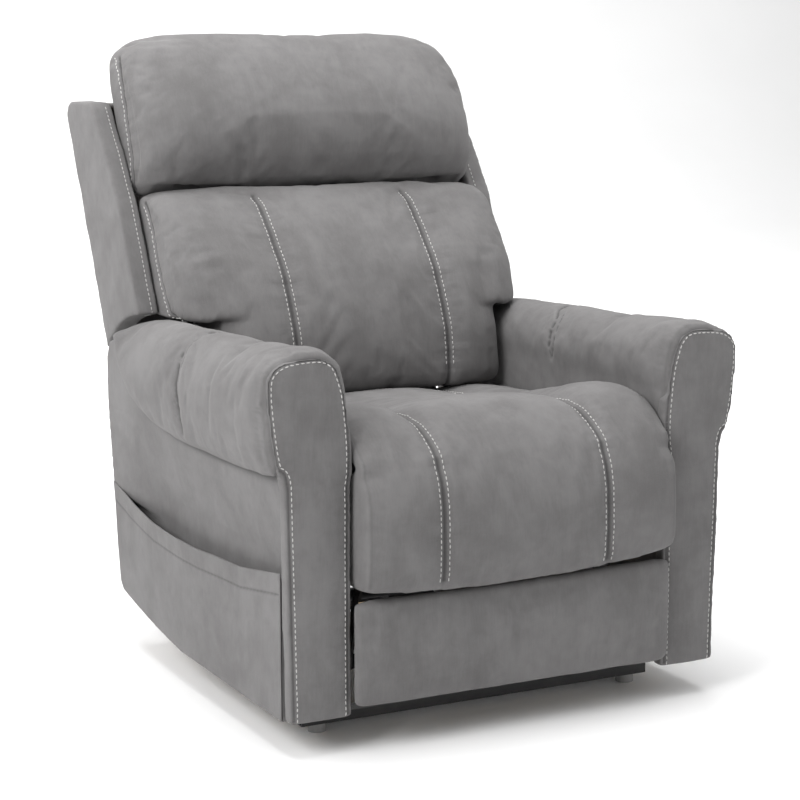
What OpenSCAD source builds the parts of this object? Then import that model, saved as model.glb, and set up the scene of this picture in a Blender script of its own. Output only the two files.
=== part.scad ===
/* [Overall] */
// thickness of an arm, from its inner face to its outer face
arm_outer = 110; // [95:1:130]
// clearance between the seat's side and an arm's inner face
arm_inner = 4; // [2:0.5:20]
// height of the arms' lower edge above the floor
arm_low = 56; // [40:1:80]
// distance of the whole chair's middle behind the arm fronts
mid_y = 482.25; // [400:0.25:560]

/* [Base] */
// half length of the front floor rail
rail_half = 323; // [280:1:340]
// floor rail height
rail_h = 16; // [10:1:30]
// height of a floor glide
glide_h = 14; // [8:1:30]
// radius of a floor glide
glide_r = 15; // [8:0.5:25]
// height of the side rails
side_rail_h = 30; // [20:1:40]
// radius of every pivot pin
pin_r = 5; // [3:0.25:8]
// running clearance round a pivot pin
run_gap = 0.05; // [0.01:0.01:0.1]
// thickness of the base ears and links
link_t = 6; // [4:0.5:8]
// width of a lift link
lift_w = 26; // [18:1:34]
// play at the open lift pivot
lift_play = 1.4; // [0.8:0.1:3]

/* [Footrest] */
// length of the main footrest link
foot_len = 331; // [280:1:360]
// angle of the main footrest link at rest
foot_ang = -73.3; // [-85:0.1:-60]
// width of a footrest link
foot_w = 20; // [14:1:24]
// thickness of a footrest link
foot_t = 5; // [3:0.5:6]
// play at the open footrest pivots
foot_play = 0.4; // [0.3:0.05:1]
// half width of the footrest pad
foot_half = 287; // [250:1:300]

/* [Actuators] */
// radius of an actuator's outer tube
tube_r = 15; // [12:0.5:20]
// radius of an actuator's rod
rod_r = 10; // [6:0.5:12]
// play at the lift rod's eye
lift_eye_play = 2.8; // [2:0.1:5]
// play at the recline rod's eye
recline_eye_play = 4.3; // [3:0.1:6]

/* [Seat and back] */
// half width of the seat cushion
seat_half = 279; // [260:1:281]
// half width of the headrest and upper back cushion
back_half = 335; // [300:1:345]
// clearance between the back cushions and a wing
wing_in = 3; // [2.5:0.5:15]
// thickness of a wing
wing_out = 40; // [25:1:50]
// radius of the arc between the wings and the arms
wing_arc = 257; // [250:0.5:270]
// thickness of the seat's straps
strap_t = 3; // [2:0.5:4]

/* [Arms and pocket] */
// how far the padded roll stands out past an arm's outer face
roll_out = 25; // [10:0.5:40]
// thickness of the arm panels
arm_t = 14; // [10:0.5:20]
// clear depth of the side pocket
pocket_gap = 23; // [18:0.5:30]
// thickness of the pocket's sheet
pocket_t = 3; // [2:0.5:5]
// handset size: width
hand_w = 52; // [40:1:60]
// handset size: length
hand_l = 150; // [120:1:180]
// handset size: thickness
hand_t = 19; // [15:0.5:21]

/* [Hidden] */
$fn = 48;
steel = [0.06, 0.06, 0.065];
zinc = [0.55, 0.56, 0.58];
wood = [0.62, 0.48, 0.32];
cloth = [0.32, 0.31, 0.30];
webcol = [0.08, 0.08, 0.08];
plastic = [0.1, 0.1, 0.11];
// lift linkage pivots, (y, z)
pa = [231, 112];
pb = [150, 78];
pc = [649, 142];
pd = [398, 78];
pe = [150, 110];
pf = [388, 277];
// back, recline drive and headrest pivots
pback = [640, 350];
pg = [360, 220];
ph = [717, 290];
phead = [785, 862];
// footrest pivots from one parallelogram
p1 = [80, 390];
fd = [-145, 77];
fu = [cos(foot_ang), sin(foot_ang)];
k0 = p1 + foot_len * fu;
q0 = k0 + fd;
p2 = p1 + 0.35 * fd;
m0 = k0 + 0.35 * fd;
n0 = k0 - 60 * fu;
r0 = q0 - 60 * fu;
flap_y = -20;
flap_z = 452;
// from the seat outwards: the arm's faces, the roll, and the wood inside
arm_in = seat_half + arm_inner;
arm_out = arm_in + arm_outer;
roll_x = arm_out + roll_out;
arm_mid = (arm_in + arm_out) / 2;
wing_x = back_half + wing_in;
low_half = arm_in - 11;
wood_gap = 1;
lean_t = 6;
lean_x = arm_out - pocket_t - pocket_gap - lean_t;
// lateral layers from the outside in
ear_x = arm_in - 1 - link_t;
side_w = 30;
side_x = ear_x + link_t - side_w;
link_x = ear_x - 2 - link_t;
front_x = link_x - 4 - link_t;
frame_w = 18;
frame_x = front_x - 4 - frame_w;
plate_t = 5;
plate_x = frame_x;
fa_x = plate_x - 3 - foot_t;
fb_x = fa_x - 2 - foot_t;
upr_x = plate_x + plate_t + 3;
upr_w = 18;
rail_z = glide_h;
rail_top = rail_z + side_rail_h;
frame_z = arm_low;
frame_h = 36;
seat_z = 440;
lane = 90;

module centred() translate([0, -mid_y, 0]) children();
module both() { children(); mirror([1, 0, 0]) children(); }
module left() mirror([1, 0, 0]) children();
// a flat outline in (y, z), made thick along x
module yz(x, t) translate([x, 0, 0]) rotate([90, 0, 90]) linear_extrude(t) children();
// a flat outline in (x, z), made thick along y
module xz(y, t) translate([0, y + t, 0]) rotate([90, 0, 0]) linear_extrude(t) children();
module bar(p, q, w) {
  translate(p) circle(d = w);
  translate(q) circle(d = w);
  translate(p) rotate(atan2(q[1] - p[1], q[0] - p[0])) translate([0, 0.1 - w / 2]) square([norm(q - p), w - 0.2]);
}
module rod_x(p, x0, x1, r) translate([x0, p[0], p[1]]) rotate([0, 90, 0]) cylinder(r = r, h = x1 - x0);
// puts a piece drawn along +x onto the line that leaves p at an angle in the (y, z) plane
module along(p, a, x = 0) translate([x, p[0], p[1]]) rotate([a, 0, 0]) rotate([0, 0, 90]) children();
function crom(a, b, c, d, t) = 0.5 * ((2 * b) + (c - a) * t + (2 * a - 5 * b + 4 * c - d) * t * t + (3 * b - a - 3 * c + d) * t * t * t);
function smooth(p, k) = let (n = len(p)) [for (i = [0:n - 1], j = [0:k - 1]) crom(p[(i + n - 1) % n], p[i], p[(i + 1) % n], p[(i + 2) % n], j / k)];
// moves each point of a closed outline inwards
function inset(p, d) = let (n = len(p)) [for (i = [0:n - 1]) let (t = p[(i + 1) % n] - p[(i + n - 1) % n], u = t / norm(t)) p[i] - d * [u[1], -u[0]]];
function mirror_list(s) = concat([for (i = [len(s) - 1:-1:1]) [-s[i][0], s[i][1]]], s);
module loft(rings) {
  n = len(rings[0]);
  m = len(rings);
  polyhedron(points = [for (r = rings) each r], faces = concat(
    [[for (j = [0:n - 1]) j]],
    [[for (j = [n - 1:-1:0]) (m - 1) * n + j]],
    [for (i = [0:m - 2], j = [0:n - 1]) [i * n + j, (i + 1) * n + (j + 1) % n, i * n + (j + 1) % n]],
    [for (i = [0:m - 2], j = [0:n - 1]) [i * n + j, (i + 1) * n + j, (i + 1) * n + (j + 1) % n]]), convexity = 6);
}
// a cushion swept along x: stations are [x, inset]
module pad_x(outline, stations) loft([for (s = mirror_list(stations)) [for (p = inset(outline, s[1])) [s[0], p[0], p[1]]]]);

// ---- base ----
module base_front_rail() color(steel) centred() difference() {
  translate([-rail_half, 100, rail_z]) cube([2 * rail_half, 30, rail_h]);
  translate([-rail_half - 1, 102, rail_z + 2]) cube([2 * rail_half + 2, 26, rail_h - 4]);
}
module side_rail() difference() {
  translate([side_x, 130, rail_z]) cube([side_w, 590, side_rail_h]);
  translate([side_x + 2, 129, rail_z + 2]) cube([side_w - 4, 592, side_rail_h - 4]);
}
module base_side_rails() color(steel) centred() both() side_rail();
module base_rear_rail() color(steel) centred() translate([-side_x, 690, rail_z]) cube([2 * side_x, 30, side_rail_h]);
module floor_glides() color(plastic) centred() both() {
  translate([rail_half - 33, 115, 0]) cylinder(r = glide_r, h = glide_h);
  translate([side_x + side_w / 2, 700, 0]) cylinder(r = glide_r, h = glide_h);
}
module base_pivot_brackets() color(steel) centred() both() yz(ear_x, link_t) difference() {
  union() {
    translate(pa) circle(r = 15);
    translate(pb) circle(r = 14);
    polygon([[131, rail_top], [136, 78], [150, 92], [216, 118], [231, 127], [246, 112], [262, rail_top]]);
  }
  translate(pa) circle(r = pin_r);
  translate(pb) circle(r = pin_r);
}
module base_pivot_pins() color(zinc) centred() both() {
  rod_x(pa, link_x - 1.5, ear_x + link_t, pin_r);
  rod_x(pb, front_x - 1.5, ear_x + link_t, pin_r);
}
module lift_clevis() color(steel) centred() {
  both() yz(16, link_t) {
    translate(pe) circle(r = 13);
    polygon([[100, rail_z + rail_h], [130, rail_z + rail_h], [162, 108], [138, 110]]);
  }
  rod_x(pe, -16 - link_t, 16 + link_t, pin_r);
}
module power_supply() color(plastic) centred() difference() {
  translate([90, 612, 18]) cube([130, 78, 40]);
  translate([89, 630, 26]) cube([16.2, 28.2, 20.2]);
}
module mains_inlet() color(plastic) centred() {
  difference() {
    translate([89, 630.1, 26.1]) cube([16, 28, 20]);
    translate([88, 634, 30]) cube([14, 20, 12]);
  }
  for (y = [639, 649]) translate([92, y, 36]) rotate([0, 90, 0]) cylinder(r = 1.2, h = 10.5, $fn = 16);
}

// ---- lift linkage ----
module lift_links_rear() color(steel) centred() both() yz(link_x, link_t) difference() {
  bar(pa, pc, lift_w);
  translate(pa) circle(r = pin_r + run_gap);
  translate(pc) circle(r = pin_r + run_gap);
}
module lift_links_front() color(steel) centred() both() yz(front_x, link_t) difference() {
  bar(pb, pd, lift_w - 2);
  translate(pb) circle(r = pin_r + run_gap);
  translate(pd) circle(r = pin_r + lift_play);
}
module frame_rail() {
  difference() {
    translate([frame_x, 140, frame_z]) cube([frame_w, 550, frame_h]);
    translate([frame_x + 2, 139, frame_z + 2]) cube([frame_w - 4, 552, frame_h - 4]);
    rod_x(pd, frame_x + frame_w - 6, frame_x + frame_w + 1, pin_r);
  }
  yz(frame_x + frame_w - link_t, link_t) difference() {
    union() {
      translate(pc) circle(r = 16);
      polygon([[618, frame_z + frame_h], [680, frame_z + frame_h], [665, 142], [633, 142]]);
    }
    translate(pc) circle(r = pin_r);
  }
}
module lift_frame_rail_left() color(steel) centred() left() frame_rail();
module lift_frame_rail_right() color(steel) centred() frame_rail();
module lift_frame_cross_tubes() color(steel) centred() for (p = [[440, 74], [590, 74], [400, 185], [420, 300]]) rod_x(p, -frame_x, frame_x, 12);
module actuator_brackets() color(steel) centred() {
  both() yz(14, link_t) difference() {
    bar([420, 300], pf, 26);
    translate([420, 300]) circle(r = 12);
  }
  rod_x(pf, -14 - link_t, 14 + link_t, pin_r);
  for (x = [lane - 22, lane + 16]) yz(x, link_t) difference() {
    bar([400, 185], pg, 26);
    translate([400, 185]) circle(r = 12);
  }
  rod_x(pg, lane - 22, lane + 16 + link_t, pin_r);
}
module mech_plate() yz(plate_x, plate_t) difference() {
  union() {
    polygon([[8, 404], [22, 384], [80, 366], [300, 300], [330, frame_z + frame_h], [660, frame_z + frame_h], [666, 340], [656, 372], [560, seat_z], [14, seat_z]]);
    translate(pback) circle(r = 26);
  }
  translate(pback) circle(r = pin_r + run_gap);
  translate(p1) circle(r = pin_r);
  translate(p2) circle(r = pin_r);
  bar([420, 190], [560, 190], 60);
}
module mechanism_plate_left() color(steel) centred() left() mech_plate();
module mechanism_plate_right() color(steel) centred() mech_plate();
module mechanism_pins() color(zinc) centred() both() {
  for (p = [p1, p2]) rod_x(p, fa_x, plate_x + plate_t, pin_r);
  rod_x(pc, frame_x + frame_w - link_t, link_x + link_t + 1, pin_r);
  rod_x(pd, frame_x + frame_w - 6, front_x + link_t + 1, pin_r);
}
module arm_brackets() color(steel) centred() both() for (p = [[330, 230], [590, 230], [330, 400], [560, 400]])
  translate([plate_x + plate_t, p[0] - 15, p[1] - 3]) cube([arm_in - plate_x - plate_t, 30, 6]);

// ---- arms ----
arm_side = [[22, arm_low], [440, arm_low + 1], [560, arm_low + 14], [708, 94], [730, 100], [738, 112], [750, 185], [769, 297], [788, 420], [792, 470], [790, 520]];
module arm_outline(top) polygon(concat(arm_side, top));
head_top = [[776, 546], [735, 560], [690, 566], [664, 548], [640, 505], [600, 490], [22, 490]];
wood_d = 22;
wood_z = 118;
wood_top = 440;
wood_w = lean_x - arm_in - arm_t - 2 * wood_gap;
module arm_frame_part() {
  translate([arm_in + arm_t + wood_gap, 0, 0]) {
    for (y = [24, 690]) translate([0, y, wood_z]) cube([wood_w, wood_d, wood_top + wood_d - wood_z - 4]);
    for (z = [wood_z, wood_top]) translate([0, 24 + wood_d, z]) cube([wood_w, 690 - 24 - wood_d, wood_d]);
    translate([0, 360, wood_z + wood_d]) cube([wood_w, wood_d, wood_top - wood_z - wood_d]);
  }
}
module arm_frames() color(wood) centred() both() arm_frame_part();
module inner_panel() yz(arm_in, arm_t) arm_outline(head_top);
module arm_inner_panel_left() color(cloth) centred() left() inner_panel();
module arm_inner_panel_right() color(cloth) centred() inner_panel();
// the outer panel: straight on one side, leaning in behind the pocket on the other
module outer_panel(lean) intersection() {
  yz(arm_in, arm_out - arm_in + 1) arm_outline(head_top);
  xz(0, 800) polygon(lean ? [[arm_out - arm_t, 600], [arm_out, 600], [arm_out, 430], [arm_out - pocket_t - pocket_gap, 300], [arm_out - pocket_t - pocket_gap, 0], [lean_x, 0], [lean_x, 300], [arm_out - arm_t, 430]]
    : [[arm_out - arm_t, 600], [arm_out, 600], [arm_out, 0], [arm_out - arm_t, 0]]);
}
module arm_outer_panel_left() color(cloth) centred() left() outer_panel(true);
module arm_outer_panel_right() color(cloth) centred() outer_panel(false);
// cross-section of the arm's head in (x, z), anticlockwise
function head(zb, zi, zt, h, q) = let (t = zt - zi) [[arm_out + 5, zb], [arm_out + 16, zb + min(3, 0.1 * t)], [roll_x - 2 + 6 * q, zb + 0.2 * (zt - zb)], [roll_x + 8 * q, zb + 0.42 * (zt - zb)], [roll_x - 7 + 16 * q, zb + (0.68 + 0.1 * q) * (zt - zb)], [arm_out - 5 + 15 * q, zt - min(14, 0.25 * t)], [arm_mid + 14, zt], [arm_in + 31 - 2 * q, zt - min(16 - 6 * q, 0.3 * t)], [arm_in + 7 + 2 * q, zt - min(52 - 14 * q, 0.6 * t)], [arm_in + 2, zi + min(12, 0.2 * t)], [arm_in + 7, zi], [arm_out - 9, zi], [arm_out + 1, zi - 8 * h], [arm_out + 1.4, (zb + zi) / 2]];
front_head = [[arm_out + 5, 441], [roll_x - 8, 450], [roll_x, 487], [roll_x + 5, 525], [roll_x + 8, 563], [roll_x + 6, 592], [arm_out + 16, 612], [arm_out - 6, 620], [arm_mid + 14, 623], [arm_in + 42, 620], [arm_in + 22, 605], [arm_in + 9, 572], [arm_in + 1, 520]];
module front_panel() xz(-2, 24) difference() {
  union() {
    polygon(smooth(concat(front_head, [[arm_in + 1, 420], [arm_in + 47, 410], [arm_out - 3, 420]]), 5));
    polygon([[arm_in + 1, arm_low], [arm_out - 5, arm_low], [arm_out + 2, 438], [arm_out + 2, 470], [arm_in + 1, 500]]);
  }
}
module arm_front_panel_left() color(cloth) centred() left() front_panel();
module arm_front_panel_right() color(cloth) centred() front_panel();
module rear_panel(lean) intersection() {
  yz(arm_in + arm_t, arm_out - 2 * arm_t - arm_in) difference() {
    arm_outline(head_top);
    polygon([[0, 0], [700, 0], [724, 114], [737, 185], [756, 297], [775, 420], [779, 470], [776, 515], [766, 534], [735, 546], [694, 551], [640, 462.5], [0, 462.5]]);
  }
  xz(0, 800) polygon(lean ? [[arm_in, 0], [lean_x, 0], [lean_x, 300], [arm_out - arm_t, 430], [arm_out, 700], [arm_in, 700]] : [[arm_in, 0], [arm_out, 0], [arm_out, 700], [arm_in, 700]]);
}
module arm_rear_panel_left() color(cloth) centred() left() rear_panel(true);
module arm_rear_panel_right() color(cloth) centred() rear_panel(false);
// the pad's stations: [y, lower edge, inner underside, top, hook, squareness]
pad_stations = [[691, 564, 571, 584, 0, 0], [684, 558, 568.5, 588, 0, 0], [668, 536, 555, 592, 0.4, 0], [645, 500, 530, 596, 1, 0], [610, 470, 510, 602, 1, 0], [564, 451, 500, 607, 1, 0], [480, 436, 500, 610, 1, 0], [401, 427, 500, 613, 1, 0], [217, 426, 500, 620, 1, 0.15], [100, 431, 500, 626, 1, 0.7], [24, 439, 500, 630, 1, 1]];
module arm_pad_part() loft([for (s = pad_stations) [for (p = smooth(head(s[1], s[2], s[3], s[4], s[5]), 2)) [p[0], s[0], p[1]]]]);
module arm_pad_left() color(cloth) centred() left() arm_pad_part();
module arm_pad_right() color(cloth) centred() arm_pad_part();
module side_pocket() color(cloth) centred() left() {
  yz(arm_out - pocket_t, pocket_t) intersection() {
    arm_outline(head_top);
    polygon([[22.5, 0], [800, 0], [800, 300], [764, 294], [660, 274], [551, 260], [450, 257], [342, 258], [173, 266], [22.5, 289]]);
  }
  // pocket floor and closed ends
  yz(arm_out - pocket_t - pocket_gap + 0.5, pocket_gap) difference() {
    intersection() {
      arm_outline(head_top);
      polygon([[22.5, 0], [800, 0], [800, 280], [22.5, 280]]);
    }
    polygon([[28, 62], [440, 63], [560, 76], [700, 98], [722, 104], [744, 185], [757, 270], [760, 282], [28, 282]]);
  }
}

// ---- seat ----
module seat_frame() color(wood) centred() {
  translate([20 - plate_x, 5, 345]) cube([2 * plate_x - 40, 25, 95]);
  for (s = [20 - plate_x, plate_x - 40]) translate([s, 30, 405]) cube([20, 495, 35]);
  translate([-plate_x, 150, 405]) cube([2 * plate_x, 25, 35]);
  translate([-plate_x, 525, 405]) cube([2 * plate_x, 25, 35]);
}
module seat_webbing() color(webcol) centred() for (x = [-160, -80, 0, 80, 160]) translate([x - 25, 8, seat_z]) cube([50, 538, strap_t]);
seat_line = [[-21, 456], [-6, 452], [40, 446], [200, 445], [380, 445], [500, 445], [546, 445], [556, 448], [548, 451], [500, 453], [430, 458], [370, 464], [315, 472], [195, 494], [135, 505], [90, 508], [45, 502], [10, 485], [-10, 470], [-20, 461]];
// the side sections stand higher than the middle: [x, inset, rise]
seat_stations = [[0, 0, 0], [70, 0, 0], [126, 0.3, -2], [140, 2.4, -7], [155, 2.4, -7], [168, 0.3, 1], [seat_half - 79, 0, 11], [seat_half - 44, 0, 13], [seat_half - 21, 0, 10], [seat_half - 8, 1.5, 7], [seat_half - 2, 4, 4], [seat_half, 8, 2]];
module seat_cushion() color(cloth) centred() loft([for (s = concat([for (i = [len(seat_stations) - 1:-1:1]) [-seat_stations[i][0], seat_stations[i][1], seat_stations[i][2]]], seat_stations))
  [for (p = smooth(seat_line, 2)) [s[0], p[0] + s[1] * max(0, min(1, (60 - p[0]) / 60)), 445 + (p[1] - 445) * (1 - s[1] / 80) + s[2] * max(0, min(1, (p[1] - 470) / 35))]]]);
chaise_line = [[-30, 252], [-26, 275], [-25, 330], [-22, 390], [-12, 430], [-9, 445], [-18, 448], [-31, 444], [-45, 414], [-53, 370], [-54, 310], [-50, 262], [-40, 245]];
// its lower edge rises towards the sides: [x, inset, rise]
chaise_stations = [[0, 0, 0, 0], [70, 0.1, 2, 0], [130, 0.4, 6, 0], [140, 1.6, 6, 0], [155, 1.6, 8, 0], [165, 0.4, 9, 0], [seat_half - 64, 0.3, 14, 0], [seat_half - 42, 0.5, 17, 0], [seat_half - 36, 0.6, 19, 28], [seat_half - 9, 1.5, 21, 28], [seat_half - 2, 3, 22, 27], [seat_half, 6, 22, 24]];
// the sides reach further back below the hinge: a fourth value, in millimetres
function deeper(p, d) = d * max(0, min(1, (p[0] + 42) / 12)) * max(0, min(1, (445 - p[1]) / 30));
module chaise_pad() color(cloth) centred() loft([for (s = concat([for (i = [len(chaise_stations) - 1:-1:1]) [-chaise_stations[i][0], chaise_stations[i][1], chaise_stations[i][2], chaise_stations[i][3]]], chaise_stations))
  [for (p = inset(smooth(chaise_line, 2), s[1])) [s[0], p[0] + deeper(p, s[3]), p[1] + s[2] * max(0, (450 - p[1]) / 205)]]]);

// ---- actuators ----
la = atan2(pf[1] - pe[1], pf[0] - pe[0]);
ll = norm(pf - pe);
ra = atan2(ph[1] - pg[1], ph[0] - pg[0]);
rl = norm(ph - pg);
module act_tube(p, a, x, tip, box = 20) along(p, a, x) difference() {
  union() {
    rotate([90, 0, 0]) translate([0, 0, -10]) cylinder(r = 11, h = 20);
    translate([0, -10, -9]) cube([24, 20, 18]);
    translate([box, -tube_r, -19]) cube([66 - box, 2 * tube_r, 38]);
    translate([60, 0, 0]) rotate([0, 90, 0]) cylinder(r = tube_r, h = tip - 60);
  }
  rotate([90, 0, 0]) translate([0, 0, -11]) cylinder(r = pin_r + run_gap, h = 22);
  translate([75, 0, 0]) rotate([0, 90, 0]) cylinder(r = rod_r + run_gap, h = tip);
}
module act_rod(p, a, x, start, end, play) along(p, a, x) difference() {
  union() {
    translate([start, 0, 0]) rotate([0, 90, 0]) cylinder(r = rod_r, h = end - start - 8);
    translate([end, 10, 0]) rotate([90, 0, 0]) cylinder(r = pin_r + play + 5, h = 20);
  }
  translate([end, 11, 0]) rotate([90, 0, 0]) cylinder(r = pin_r + play, h = 22);
}
module act_motor(p, a, x, up, s = 43) along(p, a, x) {
  translate([s, 0, up * 19]) mirror([0, 0, up > 0 ? 0 : 1]) { cylinder(r = 17, h = 78); translate([0, 0, 78]) cylinder(r = 12, h = 6); }
}
module lift_motor() color(plastic) centred() act_motor(pe, la, 0, -1);
module lift_actuator_tube() color(zinc) centred() act_tube(pe, la, 0, 212);
module lift_actuator_rod() color(zinc) centred() act_rod(pe, la, 0, 112, ll, lift_eye_play);
module recline_motor() color(plastic) centred() act_motor(pg, ra, lane, 1, 31);
module recline_actuator_tube() color(zinc) centred() act_tube(pg, ra, lane, 270, 13);
module recline_actuator_rod() color(zinc) centred() act_rod(pg, ra, lane, 150, rl, recline_eye_play);

// ---- back ----
utop = [822, 803];
ulean = atan2(utop[1] - pback[1], utop[0] - pback[0]);
module back_frame() color(steel) centred() {
  both() yz(upr_x, upr_w) {
    bar(pback, utop, 30);
    bar(utop, phead, 22);
    bar(pback + [10, 0], [716, 350], 23);
  }
  both() {
    rod_x(pback, plate_x - 2, upr_x + 2, pin_r);
    rod_x(phead, upr_x - 12, upr_x + 2, pin_r);
  }
  for (p = [[716, 350], [738, 590], [812, 770]]) rod_x(p, -upr_x - 1, upr_x + 1, 9);
  for (x = [lane - 20, lane + 14]) yz(x, link_t) bar([716, 350], ph, 24);
  rod_x(ph, lane - 20, lane + 14 + link_t, pin_r);
}
module back_webbing() color(webcol) centred() for (d = [150, 222, 310, 390]) along(pback, ulean) translate([d - 25, -upr_x, -1.5]) cube([50, 2 * upr_x, strap_t]);
wing_line = [[600, 560], [655, 600], [700, 690], [752, 793], [815, 880], [880, 958], [896, 968], [1000, 967], [1018, 960], [1023, 942], [823, 520], [760, 480]];
module wing_shape() difference() {
  polygon(wing_line);
  translate(pback) circle(r = wing_arc, $fn = 96);
}
module wing() yz(wing_x, wing_out) wing_shape();
module back_wing_left() color(cloth) centred() left() wing();
module back_wing_right() color(cloth) centred() wing();
rear_in = [[730.9, 342], [811, 520], [1003, 938], [998, 950], [950, 954], [950, 966], [1004, 962], [1015, 940], [823, 520], [742.9, 342]];
module back_rear_panel() color(cloth) centred() {
  yz(-low_half, 2 * low_half) intersection() { polygon(rear_in); square([1200, 546]); }
  yz(-wing_x + 0.5, 2 * wing_x - 1) intersection() { polygon(rear_in); translate([0, 546]) square([1200, 600]); }
}
// cushion rings swept upwards: [z, half width, front at the middle, side line, back, roundness of the front corners]
function oval(s, e, n, f = 0.6) = [for (k = [0:n - 1]) let (a = 360 * k / n, c = cos(a), d = sin(a)) [s[1] * sign(c) * pow(abs(c), d < 0 && !is_undef(s[5]) ? s[5] : e), d < 0 ? s[3] - (s[3] - s[2]) * pow(-d, f) : s[3] + (s[4] - s[3]) * pow(d, 0.3), s[0]]];
lumbar_stations = [[466, low_half - 14, 512, 545, 598], [471, low_half - 4, 502, 540, 622], [490, low_half, 497, 545, 642], [530, low_half, 499, 556, 668], [570, low_half, 506, 570, 692], [600, low_half, 516, 588, 710], [606, low_half + 4, 519, 594, 716], [608.5, back_half - 13, 521, 610, 718], [614, back_half - 3, 523, 616, 724], [630, back_half, 530, 626, 730], [680, back_half, 556, 650, 750], [730, back_half, 600, 677, 766], [770, back_half - 1, 640, 700, 778], [790, back_half - 5, 662, 714, 782], [801, back_half - 15, 690, 728, 780], [805, back_half - 35, 712, 742, 770]];
module lumbar_cushion() color(cloth) centred() loft([for (s = lumbar_stations) oval(s, 0.28, 40)]);
head_stations = [[808, back_half - 23, 768, 780, 803, 0.4], [812, back_half - 13, 759, 780, 813, 0.36], [820, back_half - 6, 748, 780, 822, 0.3], [832, back_half - 2, 728, 776, 832, 0.25], [868, back_half + 2, 706, 778, 850, 0.22], [885, back_half + 2, 703.5, 784, 857, 0.22], [915, back_half + 2, 703.5, 797, 874, 0.24], [945, back_half + 2, 711, 810, 892, 0.28], [975, back_half + 1, 725, 820, 904, 0.32], [1000, back_half, 741, 828, 915, 0.36], [1022, back_half - 7, 757, 835, 924, 0.4], [1045, back_half - 18, 779, 842, 932, 0.4], [1062, back_half - 32, 799, 850, 929, 0.4], [1075, back_half - 47, 822, 862, 919, 0.4], [1084, back_half - 85, 848, 876, 900, 0.4]];
module headrest_cushion() color(cloth) centred() difference() {
  loft([for (s = head_stations) oval(s, 0.4, 40, 1)]);
  both() translate([fb_x + 4, 748, 780]) cube([upr_x + upr_w + 6 - fb_x - 4, 150, 122]);
}
module headrest_board() color(wood) centred() {
  yz(-300, 600) polygon([[862, 889], [872, 884], [906, 943], [930, 998], [921, 1003], [896, 947]]);
  both() yz(upr_x - 10, 8) difference() {
    union() {
      bar(phead, [862, 889], 20);
      polygon([[860, 880], [872, 884], [890, 915], [862, 900]]);
    }
    translate(phead) circle(r = pin_r + run_gap);
  }
}

// ---- footrest ----
module flink(x, p, q) yz(x, foot_t) bar(p, q, foot_w);
module footrest_links_main() color(steel) centred() {
  both() {
    difference() {
      flink(fa_x, p1, k0);
      rod_x(p1, fa_x - 1, fa_x + foot_t + 1, pin_r + run_gap);
    }
    for (p = [k0, n0]) rod_x(p, fb_x, fa_x + 1, pin_r);
  }
  rod_x(p1, -fa_x, fa_x, 9);
}
module footrest_links_lower() color(steel) centred() both() difference() {
  flink(fb_x, k0, q0);
  rod_x(k0, fb_x - 1, fb_x + foot_t + 1, pin_r + run_gap);
  rod_x(q0, fb_x - 1, fb_x + foot_t + 1, pin_r + run_gap);
  rod_x(m0, fb_x - 1, fb_x + foot_t + 1, pin_r + foot_play);
}
module footrest_links_rear() color(steel) centred() both() {
  difference() {
    flink(fa_x, p2, m0);
    rod_x(p2, fa_x - 1, fa_x + foot_t + 1, pin_r + run_gap);
  }
  rod_x(m0, fb_x, fa_x + 1, pin_r);
}
module footrest_links_upper() color(steel) centred() both() difference() {
  flink(fb_x, n0, r0);
  rod_x(n0, fb_x - 1, fb_x + foot_t + 1, pin_r + run_gap);
  rod_x(r0, fb_x - 1, fb_x + foot_t + 1, pin_r + foot_play);
}
module footrest_board() color(wood) centred() {
  translate([13 - arm_in, -4, 80]) cube([2 * arm_in - 26, 6.5, 154]);
  both() {
    yz(fa_x, foot_t) {
      bar(q0, r0, foot_w);
      polygon([[2.5, 134], [2.5, 218], r0 + [0, 9], q0 + [0, -9]]);
    }
    for (p = [q0, r0]) rod_x(p, fb_x, fa_x + 1, pin_r);
  }
}
pad_line = [[-19, 72], [-8, 73], [-4.5, 80], [-4.5, 150], [-4.5, 232], [-8, 239], [-19, 240], [-25, 228], [-27, 190], [-27, 120], [-25, 84]];
module footrest_pad() color(cloth) centred() pad_x(smooth(pad_line, 2), [[0, 0], [foot_half - 87, 0], [foot_half - 25, 0.3], [foot_half - 11, 1.5], [foot_half - 3, 4], [foot_half, 8]]);

// ---- handset in the pocket ----
hx = -(arm_out - pocket_t - pocket_gap / 2);
module handset() color(plastic) centred() translate([hx - hand_t / 2, 300, 63.2]) difference() {
  cube([hand_t, hand_w, hand_l]);
  for (k = [0:3]) translate([-1, 10 + 20 * (k % 2), 92 + 24 * floor(k / 2)]) cube([4, 12.6, 14.6]);
}
module button(k) color(zinc) centred() translate([hx - hand_t / 2, 300, 63.2])
  translate([-0.8, 10.3 + 20 * (k % 2), 92.3 + 24 * floor(k / 2)]) cube([1.8, 12, 14]);
module button_raise() button(2);
module button_lower() button(0);
module button_back_up() button(3);
module button_back_down() button(1);

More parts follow.
